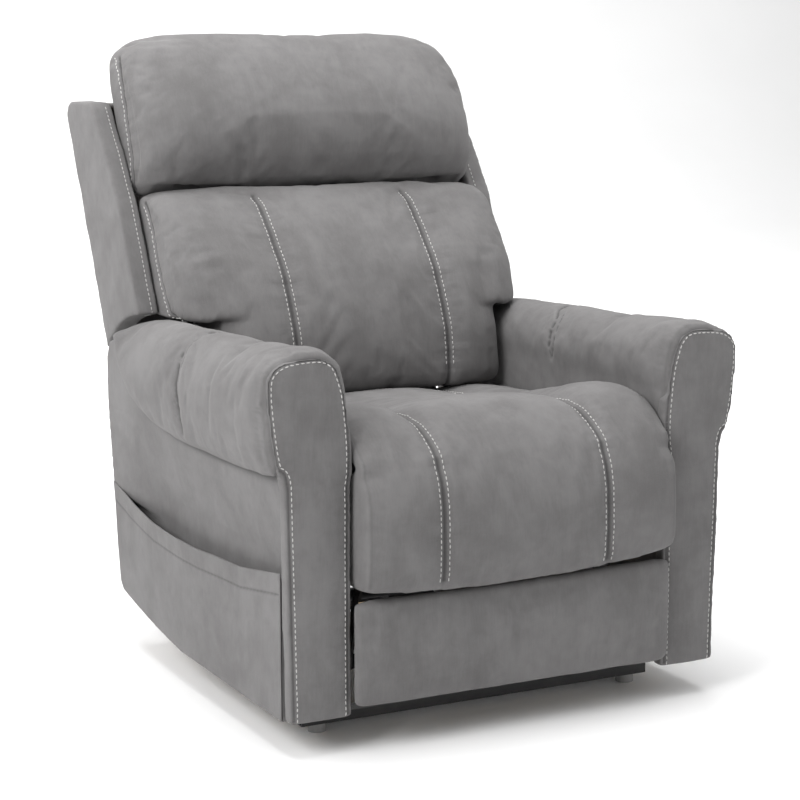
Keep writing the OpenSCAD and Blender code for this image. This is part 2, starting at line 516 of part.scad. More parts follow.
base_front_rail();
base_side_rails();
base_rear_rail();
floor_glides();
base_pivot_brackets();
base_pivot_pins();
lift_clevis();
power_supply();
mains_inlet();
lift_links_rear();
lift_links_front();
lift_frame_rail_left();
lift_frame_rail_right();
lift_frame_cross_tubes();
actuator_brackets();
mechanism_plate_left();
mechanism_plate_right();
mechanism_pins();
arm_brackets();
arm_frames();
arm_inner_panel_left();
arm_inner_panel_right();
arm_outer_panel_left();
arm_outer_panel_right();
arm_front_panel_left();
arm_front_panel_right();
arm_rear_panel_left();
arm_rear_panel_right();
arm_pad_left();
arm_pad_right();
side_pocket();
seat_frame();
seat_webbing();
seat_cushion();
lift_motor();
lift_actuator_tube();
lift_actuator_rod();
recline_motor();
recline_actuator_tube();
recline_actuator_rod();
back_frame();
back_webbing();
back_wing_left();
back_wing_right();
back_rear_panel();
lumbar_cushion();
headrest_board();
headrest_cushion();
footrest_links_main();
footrest_links_lower();
footrest_links_rear();
footrest_links_upper();
footrest_board();
footrest_pad();
chaise_pad();
handset();
button_raise();
button_lower();
button_back_up();
button_back_down();
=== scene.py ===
import math
import random
import bpy
import bmesh
import numpy as np
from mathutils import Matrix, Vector
from mathutils.bvhtree import BVHTree
from mathutils.kdtree import KDTree


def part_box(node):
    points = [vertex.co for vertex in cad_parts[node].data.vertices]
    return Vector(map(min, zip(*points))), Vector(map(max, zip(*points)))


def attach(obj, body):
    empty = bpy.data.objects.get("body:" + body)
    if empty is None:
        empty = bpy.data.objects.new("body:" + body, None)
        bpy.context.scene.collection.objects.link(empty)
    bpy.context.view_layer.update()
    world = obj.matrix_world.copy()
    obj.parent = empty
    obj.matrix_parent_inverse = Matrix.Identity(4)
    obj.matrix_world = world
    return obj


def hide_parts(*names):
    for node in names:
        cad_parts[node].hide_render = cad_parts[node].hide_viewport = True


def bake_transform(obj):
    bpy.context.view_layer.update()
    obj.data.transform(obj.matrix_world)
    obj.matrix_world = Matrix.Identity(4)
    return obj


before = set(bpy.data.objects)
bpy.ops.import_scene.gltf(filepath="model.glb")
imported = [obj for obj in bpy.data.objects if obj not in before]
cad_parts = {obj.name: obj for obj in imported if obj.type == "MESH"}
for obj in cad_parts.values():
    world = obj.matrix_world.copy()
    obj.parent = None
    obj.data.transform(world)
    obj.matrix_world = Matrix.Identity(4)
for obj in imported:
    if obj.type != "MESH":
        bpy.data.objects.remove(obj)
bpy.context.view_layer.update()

sides = (-1, 1)
# the frame's middle plane lies this far behind the arm fronts
middleY = 0.100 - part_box("base_front_rail")[0].y


def at(x, y, z):
    # chair millimetres, y counted from the arm fronts, to metres in the frame
    return Vector((x / 1000, y / 1000 - middleY, z / 1000))


# ---- camera, floor and light ----
studio = {
    "cameraPlace": (-1646.06, -2824.56, 1090.76),
    "cameraTurn": (-27.1077, 9.788),
    "lens": 95.4,
    "worldStrength": 0.55,
    "paper": ((0.90, 0.90, 0.90), (0.95, 0.95, 0.95)),
    # the floor: half width, front edge, length of its flat part and the share of rows on it, radius of its rise
    "floor": (9, -9, 14, 0.7, 3.5),
    "floorRows": 24,
}
# place, what it points at, size and power
lamps = {
    "keyLight": ((-3.2, -1.3, 2.6), (0, 0, 0.5), (1.8, 1.8), 100),
    "fillLight": ((2.8, -2.2, 1.6), (0, 0, 0.5), (2.2, 2.2), 20),
    "topLight": ((0, 0.1, 3.2), (0, 0, 0), (2.4, 2.4), 95),
    "rimLight": ((-2.6, 2.2, 2.0), (0, 0, 0.7), (1.6, 1.6), 30),
    "wallLight": ((0, 2.2, 4.2), (0, 7.5, 1.2), (6, 2), 420),
}


def placed(name, data):
    piece = bpy.data.objects.new(name, data)
    bpy.context.scene.collection.objects.link(piece)
    return piece


def aimed(name, data, place, direction):
    piece = placed(name, data)
    piece.location = place
    piece.rotation_mode = "QUATERNION"
    piece.rotation_quaternion = direction.to_track_quat("-Z", "Y")
    return piece


def makeCamera():
    data = bpy.data.cameras.new("chairCamera")
    data.lens, data.sensor_width, data.sensor_fit = studio["lens"], 36, "AUTO"
    data.clip_start, data.clip_end = 0.05, 100
    turn, lift = (math.radians(a) for a in studio["cameraTurn"])
    level = math.cos(lift)
    back = Vector((math.sin(turn) * level, -math.cos(turn) * level, math.sin(lift)))
    bpy.context.scene.camera = aimed("chairCamera", data, at(*studio["cameraPlace"]), -back)


def makeLamp(name, place, target, size, power):
    data = bpy.data.lights.new(name, "AREA")
    data.shape, data.energy = "RECTANGLE", power
    data.size, data.size_y = size
    aimed(name, data, Vector(place), Vector(target) - Vector(place))


def floorMesh():
    # flat, and curved up far behind the chair
    half, front, length, flat, radius = studio["floor"]
    points = []
    for step in range(studio["floorRows"] + 1):
        t = step / studio["floorRows"]
        turn = max(0, t - flat) / (1 - flat) * math.pi / 2
        y = front + length * min(t / flat, 1) + radius * math.sin(turn)
        points += [(side * half, y, radius * (1 - math.cos(turn))) for side in sides]
    mesh = bpy.data.meshes.new("studioFloor")
    strips = [(2 * i, 2 * i + 1, 2 * i + 3, 2 * i + 2) for i in range(studio["floorRows"])]
    mesh.from_pydata(points, [], strips)
    mesh.polygons.foreach_set("use_smooth", [True] * len(mesh.polygons))
    return mesh


def makeStudio():
    bpy.context.scene.view_settings.view_transform = "Standard"
    world = bpy.data.worlds.new("softRoom")
    bpy.context.scene.world = world
    world.use_nodes = True
    sky = world.node_tree.nodes["Background"]
    sky.inputs["Color"].default_value = (1, 1, 1, 1)
    sky.inputs["Strength"].default_value = studio["worldStrength"]
    for name, facts in lamps.items():
        makeLamp(name, *facts)
    floor = placed("studioFloor", floorMesh())
    paper = Finish("studioPaper", roughness=0.9)
    paper.join("Base Color", paper.mix(paper.noise(scale=1.5), *studio["paper"]))
    floor.data.materials.append(paper.material)


# ---- shader sockets as expressions ----
class Wire:
    def __init__(self, tree, socket):
        self.tree = tree
        self.socket = socket

    def work(self, operation, *others):
        node = self.tree.nodes.new("ShaderNodeMath")
        node.operation = operation
        for slot, value in zip(node.inputs, others):
            if isinstance(value, Wire):
                self.tree.links.new(value.socket, slot)
            else:
                slot.default_value = value
        return Wire(self.tree, node.outputs[0])

    def __add__(self, other):
        return self.work("ADD", self, other)

    def __radd__(self, other):
        return self.work("ADD", other, self)

    def __sub__(self, other):
        return self.work("SUBTRACT", self, other)

    def __mul__(self, other):
        return self.work("MULTIPLY", self, other)

    def kept(self):
        # the value held between nought and one
        return self.work("MAXIMUM", self.work("MINIMUM", self, 1.0), 0.0)


class Finish:
    def __init__(self, name, roughness=0.6, metallic=0.0, specular=0.5,
                 sheen=0.0, sheenTint=(1, 1, 1), sheenRoughness=0.4):
        self.material = bpy.data.materials.new(name)
        self.material.use_nodes = True
        self.tree = self.material.node_tree
        self.shader = self.tree.nodes["Principled BSDF"]
        values = {
            "Roughness": roughness, "Metallic": metallic, "Specular IOR Level": specular,
            "Sheen Weight": sheen, "Sheen Tint": (*sheenTint, 1), "Sheen Roughness": sheenRoughness,
        }
        for socket, value in values.items():
            self.shader.inputs[socket].default_value = value
        self.place = self.node("ShaderNodeTexCoord").outputs["Object"]

    def node(self, kind, settings=None, **values):
        node = self.tree.nodes.new(kind)
        for key, value in (settings or {}).items():
            setattr(node, key, value)
        for key, value in values.items():
            slot = node.inputs[key]
            if isinstance(value, Wire):
                self.tree.links.new(value.socket, slot)
            elif isinstance(value, bpy.types.NodeSocket):
                self.tree.links.new(value, slot)
            else:
                slot.default_value = value
        return node

    def mapped(self, scale, turn):
        return self.node("ShaderNodeMapping", Vector=self.place, Scale=scale, Rotation=turn).outputs[0]

    def noise(self, scale, detail=2.0, rough=0.5, distort=0.0, stretch=None, turn=(0, 0, 0)):
        where = self.place if stretch is None else self.mapped(stretch, turn)
        node = self.node("ShaderNodeTexNoise", Vector=where, Scale=scale, Detail=detail,
                         Roughness=rough, Distortion=distort)
        return Wire(self.tree, node.outputs[0])

    def cells(self, scale):
        node = self.node("ShaderNodeTexVoronoi", Vector=self.place, Scale=scale)
        return Wire(self.tree, node.outputs[0])

    def bands(self, direction, scale, distort):
        node = self.node("ShaderNodeTexWave", {"bands_direction": direction},
                         Vector=self.place, Scale=scale, Distortion=distort, Detail=1.0)
        return Wire(self.tree, node.outputs["Fac"])

    def step(self, value, low, high):
        # a smooth rise from nought at low to one at high
        node = self.node("ShaderNodeMapRange", {"interpolation_type": "SMOOTHSTEP"}, Value=value)
        node.inputs["From Min"].default_value, node.inputs["From Max"].default_value = low, high
        return Wire(self.tree, node.outputs[0])

    def mix(self, factor, first, second):
        node = self.tree.nodes.new("ShaderNodeMix")
        node.data_type = "RGBA"
        for index, value in ((0, factor), (6, first), (7, second)):
            if isinstance(value, Wire):
                self.tree.links.new(value.socket, node.inputs[index])
            elif index == 0:
                node.inputs[0].default_value = value
            else:
                node.inputs[index].default_value = (*value, 1)
        return Wire(self.tree, node.outputs[2])

    def attribute(self, name):
        node = self.node("ShaderNodeAttribute", {"attribute_name": name, "attribute_type": "GEOMETRY"})
        return Wire(self.tree, node.outputs["Fac"])

    def bump(self, height, strength, distance):
        node = self.node("ShaderNodeBump", Height=height, Strength=strength, Distance=distance)
        self.tree.links.new(node.outputs[0], self.shader.inputs["Normal"])

    def join(self, socket, value):
        self.tree.links.new(value.socket, self.shader.inputs[socket])

    def done(self, base, roughness, height, strength, distance):
        self.join("Base Color", base)
        if roughness is not None:
            self.join("Roughness", roughness)
        self.bump(height, strength, distance)
        return self.material


suede = {
    "light": (0.150, 0.146, 0.146),
    "dark": (0.112, 0.108, 0.108),
    "brushed": (0.170, 0.166, 0.166),
    "cloudScale": 7.0,
    "napScale": 34.0,
    "fleckScale": 420,
    "grainScale": 1500.0,
    # how much darker the grain is and the painted shade in folds and seams, and how much paler a rubbed edge
    "grainTone": 0.8,
    "foldShadeTone": 0.42,
    "rubTone": 1.12,
}


def toned(colour, share):
    return tuple(c * share for c in colour)


def makeSuede():
    cloth = Finish("warmGreySuede", roughness=0.93, specular=0.18,
                   sheen=0.10, sheenTint=(0.95, 0.94, 0.93), sheenRoughness=0.55)
    cloud = cloth.noise(suede["cloudScale"], 3, 0.55, 0.6)
    nap = cloth.noise(suede["napScale"], 4, 0.6, 0.3)
    swipe = cloth.noise(9, 3, 0.6, 1.2, stretch=(2.4, 1.0, 0.7), turn=(0.5, 0.3, 0.2))
    weave = cloth.noise(130, 2, 0.5, stretch=(3.2, 1.0, 0.35))
    grain = cloth.noise(suede["grainScale"], 2, 0.7)
    fleck = cloth.noise(suede["fleckScale"], 3, 0.7)
    mottle = cloth.step(cloud * 0.42 + nap * 0.26 + swipe * 0.22 + weave * 0.10, 0.34, 0.66)
    base = cloth.mix(mottle, suede["dark"], suede["brushed"])
    base = cloth.mix(cloth.step(fleck, 0.2, 0.8) * 0.35, base, suede["light"])
    speck = grain - 0.5
    base = cloth.mix(speck.work("ABSOLUTE", speck) * 0.45, base, toned(suede["dark"], suede["grainTone"]))
    # painted shade: darker in folds, seams and hollows, where shade falls; paler where hands and edges rub
    fold = cloth.attribute("foldShade").kept()
    base = cloth.mix(fold * 0.7, base, toned(suede["dark"], suede["foldShadeTone"]))
    rub = cloth.attribute("rubShade").kept()
    base = cloth.mix(rub * 0.5, base, toned(suede["brushed"], suede["rubTone"]))
    return cloth.done(base, 0.86 + nap * 0.12, grain * 0.5 + fleck * 0.9 + weave * 0.5 + nap * 1.6, 0.35, 0.0007)


# ---- other finishes ----
def makeThread():
    thread = Finish("stitchThread", roughness=0.72, sheen=0.3, specular=0.3)
    ply = thread.noise(900, 2, 0.6)
    return thread.done(thread.mix(ply, (0.38, 0.372, 0.362), (0.52, 0.512, 0.50)), None, ply, 0.3, 0.0002)


def makeSteel():
    steel = Finish("blackSteel", roughness=0.42, specular=0.55)
    peel = steel.noise(900, 3, 0.6)
    dust = steel.noise(14, 4, 0.65, 0.8)
    wear = steel.noise(240, 3, 0.7)
    base = steel.mix(steel.step(dust, 0.45, 0.8) * 0.5, (0.016, 0.016, 0.017), (0.045, 0.044, 0.043))
    base = steel.mix(steel.step(wear, 0.66, 0.8) * 0.4, base, (0.075, 0.073, 0.07))
    return steel.done(base, 0.34 + dust * 0.22 + peel * 0.06, peel, 0.25, 0.0003)


def makeZinc():
    zinc = Finish("brightZinc", roughness=0.3, metallic=1.0)
    grain = zinc.noise(60, 4, 0.6, stretch=(1, 1, 9))
    spangle = zinc.cells(220)
    base = zinc.mix(zinc.step(grain, 0.3, 0.7), (0.50, 0.51, 0.52), (0.68, 0.69, 0.70))
    base = zinc.mix(zinc.step(spangle, 0.1, 0.7) * 0.35, base, (0.43, 0.43, 0.42))
    return zinc.done(base, 0.24 + grain * 0.2, grain, 0.15, 0.0002)


def makeTimber():
    timber = Finish("plyTimber", roughness=0.62, specular=0.3)
    rings = timber.noise(12, 5, 0.6, 1.6, stretch=(1, 0.22, 3.2))
    pores = timber.noise(160, 3, 0.6, stretch=(1, 0.08, 2))
    stain = timber.noise(5, 3, 0.5)
    base = timber.mix(timber.step(rings, 0.3, 0.7), (0.56, 0.39, 0.22), (0.70, 0.53, 0.34))
    base = timber.mix(timber.step(pores, 0.52, 0.7) * 0.5, base, (0.36, 0.23, 0.12))
    base = timber.mix(stain * 0.25, base, (0.62, 0.47, 0.31))
    return timber.done(base, 0.55 + pores * 0.2, pores * 0.6 + rings * 0.4, 0.3, 0.0006)


def makeWebbing():
    web = Finish("elasticWebbing", roughness=0.85, sheen=0.2, specular=0.2)
    ribs = web.bands("X", 95.0, 0.4)
    weft = web.bands("Y", 130.0, 0.3)
    lint = web.noise(90, 3, 0.6)
    base = web.mix(ribs * 0.6 + weft * 0.25, (0.024, 0.024, 0.026), (0.085, 0.083, 0.08))
    base = web.mix(web.step(lint, 0.55, 0.8) * 0.3, base, (0.15, 0.147, 0.14))
    return web.done(base, None, ribs + weft * 0.5, 0.5, 0.0006)


def makePlastic(name, dark, light, rough):
    plastic = Finish(name, roughness=rough, specular=0.5)
    spark = plastic.noise(2200, 2, 0.6)
    haze = plastic.noise(22, 3, 0.6)
    base = plastic.mix(haze * 0.6 + spark * 0.4, dark, light)
    return plastic.done(base, rough - 0.06 + haze * 0.14, spark, 0.3, 0.00025)


# ---- which finish each carried-over solid takes ----
finishOf = {
    "blackSteel": [
        "base_front_rail", "base_side_rails", "base_rear_rail", "base_pivot_brackets", "lift_clevis",
        "lift_links_rear", "lift_links_front", "lift_frame_rail_left", "lift_frame_rail_right",
        "lift_frame_cross_tubes", "actuator_brackets", "mechanism_plate_left", "mechanism_plate_right",
        "arm_brackets", "back_frame", "footrest_links_main", "footrest_links_lower",
        "footrest_links_rear", "footrest_links_upper",
    ],
    "brightZinc": [
        "base_pivot_pins", "mechanism_pins", "lift_actuator_tube", "lift_actuator_rod",
        "recline_actuator_tube", "recline_actuator_rod",
    ],
    "plyTimber": ["arm_frames", "seat_frame", "headrest_board", "footrest_board"],
    "elasticWebbing": ["seat_webbing", "back_webbing"],
    "blackPlastic": ["power_supply", "mains_inlet", "lift_motor", "recline_motor"],
    "greyPlastic": ["floor_glides"],
}
# the width of the softened edges, in metres
edgeOf = {
    "blackSteel": 0.0008, "brightZinc": 0.0005, "plyTimber": 0.0015,
    "elasticWebbing": 0.0004, "blackPlastic": 0.0015, "greyPlastic": 0.001,
}


def dressSolids(finishes):
    for finish, names in finishOf.items():
        for name in names:
            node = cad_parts[name]
            node.data.materials.clear()
            node.data.materials.append(finishes[finish])
            bevel = node.modifiers.new("softEdge", "BEVEL")
            bevel.width, bevel.segments, bevel.limit_method = edgeOf[finish], 2, "ANGLE"
            bevel.angle_limit = math.radians(34)
    print("carried-over solids dressed")


# ---- mesh helpers ----
def link(name, mesh, material):
    piece = placed(name, mesh)
    mesh.materials.clear()
    mesh.materials.append(material)
    mesh.polygons.foreach_set("use_smooth", [True] * len(mesh.polygons))
    return piece


def meshOf(name, points, faces):
    mesh = bpy.data.meshes.new(name)
    mesh.from_pydata([tuple(p) for p in points], [], faces)
    mesh.validate()
    fresh = bmesh.new()
    fresh.from_mesh(mesh)
    bmesh.ops.recalc_face_normals(fresh, faces=fresh.faces)
    fresh.to_mesh(mesh)
    fresh.free()
    return mesh


def lofted(name, rings):
    # closed loops of one length, joined in order, with flat ends
    count = len(rings[0])
    points = [p for ring in rings for p in ring]
    last = (len(rings) - 1) * count
    faces = [tuple(reversed(range(count))), tuple(range(last, last + count))]
    for i in range(0, last, count):
        for j in range(count):
            k = (j + 1) % count
            faces.append((i + j, i + k, i + count + k, i + count + j))
    return meshOf(name, points, faces)


def places(mesh):
    data = np.empty(len(mesh.vertices) * 3)
    mesh.vertices.foreach_get("co", data)
    return data.reshape(-1, 3)


def directions(mesh):
    data = np.empty(len(mesh.vertices) * 3)
    mesh.vertices.foreach_get("normal", data)
    return data.reshape(-1, 3)


def setPlaces(mesh, points):
    mesh.vertices.foreach_set("co", points.astype(np.float32).ravel())
    mesh.update()


def evaluated(piece):
    graph = bpy.context.evaluated_depsgraph_get()
    graph.update()
    return bpy.data.meshes.new_from_object(piece.evaluated_get(graph))


def through(mesh, name, kind, settings):
    # the mesh after one modifier
    piece = placed(name, mesh)
    modifier = piece.modifiers.new("step", kind)
    for key, value in settings.items():
        setattr(modifier, key, value)
    done = evaluated(piece)
    bpy.data.objects.remove(piece)
    return done


def voxels(mesh, size):
    settings = {"mode": "VOXEL", "voxel_size": size, "use_smooth_shade": True}
    return through(mesh, "voxelStep", "REMESH", settings)


def beveled(mesh, width):
    settings = {"width": width, "segments": 3, "limit_method": "ANGLE", "angle_limit": math.radians(40)}
    return through(mesh, "roundStep", "BEVEL", settings)


def evened(mesh, factor, times):
    return through(mesh, "evenStep", "SMOOTH", {"factor": factor, "iterations": times})


def finer(mesh):
    return through(mesh, "finerStep", "SUBSURF", {"levels": 1, "render_levels": 1})


def sampled(path, gap=0.002):
    # points along a polyline, about gap apart
    out = []
    for a, b in zip(path, path[1:]):
        a, b = Vector(a), Vector(b)
        steps = max(1, int((b - a).length / gap))
        out += [a.lerp(b, i / steps) for i in range(steps)]
    out.append(Vector(path[-1]))
    return out


def curved(points, per=8):
    # a smooth open curve through the points
    out, n = [], len(points)
    for i in range(n - 1):
        a, b, c, d = (Vector(points[max(0, min(n - 1, k))]) for k in (i - 1, i, i + 1, i + 2))
        for j in range(per):
            t = j / per
            square, cube = 2 * a - 5 * b + 4 * c - d, 3 * b - a - 3 * c + d
            out.append(0.5 * ((2 * b) + (c - a) * t + square * t * t + cube * t ** 3))
    out.append(Vector(points[-1]))
    return out


def treeOf(mesh):
    return BVHTree.FromPolygons([v.co[:] for v in mesh.vertices], [tuple(p.vertices) for p in mesh.polygons])


def pressed(path, tree, towards=None):
    # the path laid on the surface: along a direction, or at the nearest point
    out = []
    for point in path:
        hit = None
        if towards is not None:
            aim = Vector(towards).normalized()
            hit, normal, _, _ = tree.ray_cast(point - aim * 0.25, aim)
        if hit is None:
            hit, normal, _, _ = tree.find_nearest(point)
        if hit is not None:
            out.append((hit, normal))
    return out


def spots(row):
    # a row's points without their normals
    return [point for point, _ in row]


def ramp(value, start, reach):
    # nought at start, one a reach further on; a negative reach goes the other way
    return np.clip((value - start) / reach, 0, 1)


def nearness(points, path):
    # each point's distance to the path, and how far along the path it lies
    kd = KDTree(len(path))
    for i, p in enumerate(path):
        kd.insert(p, i)
    kd.balance()
    found = [kd.find(p) for p in points]
    return np.array([f[2] for f in found]), np.array([f[1] for f in found])


def setShade(mesh, name, values):
    layer = mesh.attributes.get(name) or mesh.attributes.new(name, "FLOAT", "POINT")
    layer.data.foreach_set("value", np.clip(values, 0, 1).astype(np.float32))


def ripples(points, scale, seed):
    # smooth noise from a few sine waves, between about -1 and 1
    dice = random.Random(seed)
    total = np.zeros(len(points))
    for octave in range(5):
        turn = np.array([dice.gauss(0, 1) for _ in range(3)])
        turn /= np.linalg.norm(turn)
        wave = points @ turn * scale * (1 + 0.55 * octave) + dice.uniform(0, 6.28)
        total += np.sin(wave) / (1 + 0.5 * octave)
    return total / 2.6


# ---- stitches, made by Geometry Nodes ----
# sizes in metres; sway is how far a stitch turns at random, in radians
stitching = {"Pitch": 0.0088, "Length": 0.0061, "Thick": 0.00098, "Seed": 7, "sway": 0.09}


def stitchGroup():
    group = bpy.data.node_groups.new("stitchRow", "GeometryNodeTree")
    inputs = {
        "Path": "Geometry", "Pitch": "Float", "Length": "Float", "Thick": "Float", "Seed": "Int", "Thread": "Material",
    }
    for name, kind in inputs.items():
        group.interface.new_socket(name=name, in_out="INPUT", socket_type="NodeSocket" + kind)
    group.interface.new_socket(name="Stitches", in_out="OUTPUT", socket_type="NodeSocketGeometry")

    def add(kind, values, **settings):
        node = group.nodes.new(kind)
        for key, value in settings.items():
            setattr(node, key, value)
        for key, value in values.items():
            if isinstance(value, bpy.types.NodeSocket):
                group.links.new(value, node.inputs[key])
            else:
                node.inputs[key].default_value = value
        return node.outputs

    given = add("NodeGroupInput", {})
    curve = add("GeometryNodeMeshToCurve", {"Mesh": given["Path"]})
    sites = add("GeometryNodeCurveToPoints", {"Curve": curve["Curve"], "Length": given["Pitch"]}, mode="LENGTH")
    grain = add("GeometryNodeMeshUVSphere", {"Segments": 7, "Rings": 5, "Radius": 1.0})
    half = add("ShaderNodeMath", {0: given["Length"], 1: 0.5}, operation="MULTIPLY")
    size = add("ShaderNodeCombineXYZ", {"X": given["Thick"], "Y": given["Thick"], "Z": half[0]})
    shape = add("GeometryNodeTransform", {"Geometry": grain["Mesh"], "Scale": size[0]})
    aim = add("FunctionNodeAlignRotationToVector", {"Vector": sites["Tangent"]}, axis="Z")
    low, high = [-stitching["sway"]] * 3, [stitching["sway"]] * 3
    sway = add("FunctionNodeRandomValue", {0: low, 1: high, "Seed": given["Seed"]}, data_type="FLOAT_VECTOR")
    turn = add("FunctionNodeEulerToRotation", {0: sway[0]})
    both = add("FunctionNodeRotateRotation", {0: aim[0], 1: turn[0]})
    parts = {"Points": sites["Points"], "Instance": shape[0], "Rotation": both[0]}
    sown = add("GeometryNodeInstanceOnPoints", parts)
    real = add("GeometryNodeRealizeInstances", {0: sown[0]})
    soft = add("GeometryNodeSetShadeSmooth", {0: real[0]})
    painted = add("GeometryNodeSetMaterial", {0: soft[0], "Material": given["Thread"]})
    add("NodeGroupOutput", {0: painted[0]})
    return group


def stitched(name, rows, group, thread):
    # one mesh of stitches along rows of (point, normal)
    points, edges = [], []
    for row in rows:
        first = len(points)
        points += [p + n * stitching["Thick"] * 0.25 for p, n in row]
        edges += [(first + i, first + i + 1) for i in range(len(row) - 1)]
    mesh = bpy.data.meshes.new(name + "Path")
    mesh.from_pydata(points, edges, [])
    carrier = placed(name + "Path", mesh)
    modifier = carrier.modifiers.new("stitchRow", "NODES")
    modifier.node_group = group
    values = {**stitching, "Thread": thread}
    for item in group.interface.items_tree:
        if item.name in values:
            modifier[item.identifier] = values[item.name]
    done = evaluated(carrier)
    bpy.data.objects.remove(carrier)
    return link(name, done, thread)


# ---- soft pieces ----
def held(mesh, seams, reach, fixed):
    # one at a seam and where fixed is one, nought further than reach from every seam
    points = places(mesh)
    hold = np.zeros(len(points))
    for path in seams:
        gap, _ = nearness(points, path)
        hold = np.maximum(hold, np.clip(1 - (gap - 0.004) / reach, 0, 1))
    return np.maximum(hold, fixed)


air = {
    "frames": 20, "levels": 10, "quality": 4, "mass": 0.25, "slack": -0.015,
    "stretch": 18, "shear": 6, "bend": 1.2,
    # the shares of the simulated move and of an even crown
    "moved": 0.75, "crown": 0.55,
}


def blown(mesh, hold, pressure):
    # the places the cloth moves to when air fills it between its held seams
    piece = placed("airStep", mesh)
    group = piece.vertex_groups.new(name="hold")
    levels = air["levels"]
    for level in range(1, levels + 1):
        chosen = np.nonzero((hold > (level - 1) / levels + 1e-6) & (hold <= level / levels + 1e-6))[0]
        if len(chosen):
            group.add([int(i) for i in chosen], level / levels, "REPLACE")
    cloth = piece.modifiers.new("air", "CLOTH")
    cloth.point_cache.frame_start, cloth.point_cache.frame_end = 1, air["frames"] + 1
    setting = cloth.settings
    setting.quality = air["quality"]
    setting.mass = air["mass"]
    setting.tension_stiffness = setting.compression_stiffness = air["stretch"]
    setting.shear_stiffness = air["shear"]
    setting.bending_stiffness = air["bend"]
    setting.use_pressure = True
    setting.uniform_pressure_force = pressure
    setting.vertex_group_mass = "hold"
    setting.shrink_min = air["slack"]
    setting.effector_weights.gravity = 0
    for frameNumber in range(1, air["frames"] + 1):
        bpy.context.scene.frame_set(frameNumber)
    result = evaluated(piece)
    reached = places(result)
    bpy.data.objects.remove(piece)
    bpy.data.meshes.remove(result)
    bpy.context.scene.frame_set(1)
    return reached


def filled(mesh, hold, facts):
    # a crowned cushion: facts give the pressure, the furthest move and the swell
    start, free = places(mesh), (1 - hold) ** 0.5
    moved = blown(mesh, hold, facts["pressure"]) - start
    size = np.linalg.norm(moved, axis=1)
    moved *= (np.minimum(size, facts["cap"]) / np.maximum(size, 1e-9))[:, None]
    crown = directions(mesh) * (facts["swell"] * air["crown"] * free)[:, None]
    setPlaces(mesh, start + moved * air["moved"] + crown)
    return finer(evened(mesh, 0.5, 3))


def bends(mesh):
    # how far each point stands proud of its neighbours
    points, normals = places(mesh), directions(mesh)
    ends = np.empty(len(mesh.edges) * 2, dtype=np.int64)
    mesh.edges.foreach_get("vertices", ends)
    ends = ends.reshape(-1, 2)
    total, count = np.zeros_like(points), np.zeros(len(points))
    for a, b in ((0, 1), (1, 0)):
        np.add.at(total, ends[:, a], points[ends[:, b]])
        np.add.at(count, ends[:, a], 1)
    return ((points - total / np.maximum(count, 1)[:, None]) * normals).sum(1)


gathers = {"pitch": 0.0105, "run": 0.002, "stir": 1.4, "blur": 25, "gain": 2.4}


def gathered(gap, where, count, seed, reach, height):
    # small pleats that run out from a seam and die away
    dice = random.Random(seed)
    phase = np.array([dice.uniform(-gathers["stir"], gathers["stir"]) for _ in range(count)])
    phase = np.convolve(phase, np.ones(gathers["blur"]) / gathers["blur"] * gathers["gain"], "same")
    swell = np.sin(where * gathers["run"] / gathers["pitch"] * 2 + phase[where.astype(int)] * 4)
    return height * swell * np.exp(-(gap / reach)) * np.clip(gap / 0.006, 0, 1)


def along(paths, *how):
    return [(path, *how) for path in paths]


def tailored(mesh, seams, pulls, seed, wave, rub=1.0):
    # seams: (path, width, depth, shade), where shade is painted into the colour; pulls: (path, reach, height)
    points, normals = places(mesh), directions(mesh)
    push, shade = np.zeros(len(points)), np.zeros(len(points))
    for path, width, depth, dark in seams:
        gap, _ = nearness(points, path)
        push -= depth * np.exp(-(gap / width) ** 2)
        shade = np.maximum(shade, dark * np.exp(-(gap / (width * 0.8)) ** 2))
    for path, reach, height in pulls:
        push += gathered(*nearness(points, path), len(path), seed, reach, height)
    push += wave * ripples(points, 26.0, seed) + wave * 0.5 * ripples(points, 70.0, seed + 5)
    setPlaces(mesh, points + normals * push[:, None])
    # painted shade: the colour darkens along the seams and in hollows, where shade falls
    setShade(mesh, "foldShade", shade + np.clip(-bends(mesh) * 900, 0, 0.5))
    setShade(mesh, "rubShade", np.clip(bends(mesh) * 700 * rub, 0, 1))
    return mesh


def bothOf(node, name):
    return ((-1, node + "_left", name + "Left"), (1, node + "_right", name + "Right"))


def joined(*meshes):
    fresh = bmesh.new()
    for part in meshes:
        fresh.from_mesh(part)
    mesh = bpy.data.meshes.new("joinedCopy")
    fresh.to_mesh(mesh)
    fresh.free()
    return mesh


def solidOf(*names):
    # copies of the frame's own solids as one mesh
    return joined(*(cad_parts[name].data for name in names))


def shrunk(mesh, amount, keep):
    # drawn in along the normals, but hardly across the width, and not where keep is one
    reach = np.array([amount * 0.15, amount, amount])
    setPlaces(mesh, places(mesh) - (1 - keep)[:, None] * directions(mesh) * reach)


def squared(mesh, seam, half, amount):
    # behind the side seam the cushion keeps its full width
    points = places(mesh)
    rise = sorted((z / 1000, y / 1000 - middleY) for y, z in seam)
    line = np.interp(points[:, 2], *zip(*rise))
    share = np.clip((points[:, 1] - line + 0.004) / 0.025, 0, 1)
    wide = np.abs(points[:, 0])
    grown = wide + amount * share * np.clip((wide - half + 0.08) / 0.05, 0, 1)
    points[:, 0] = np.sign(points[:, 0]) * np.minimum(grown, np.maximum(half, wide))
    setPlaces(mesh, points)
    return mesh


def seated(piece, body, slot, *nodes):
    if nodes:
        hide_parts(*nodes)
    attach(piece, body)


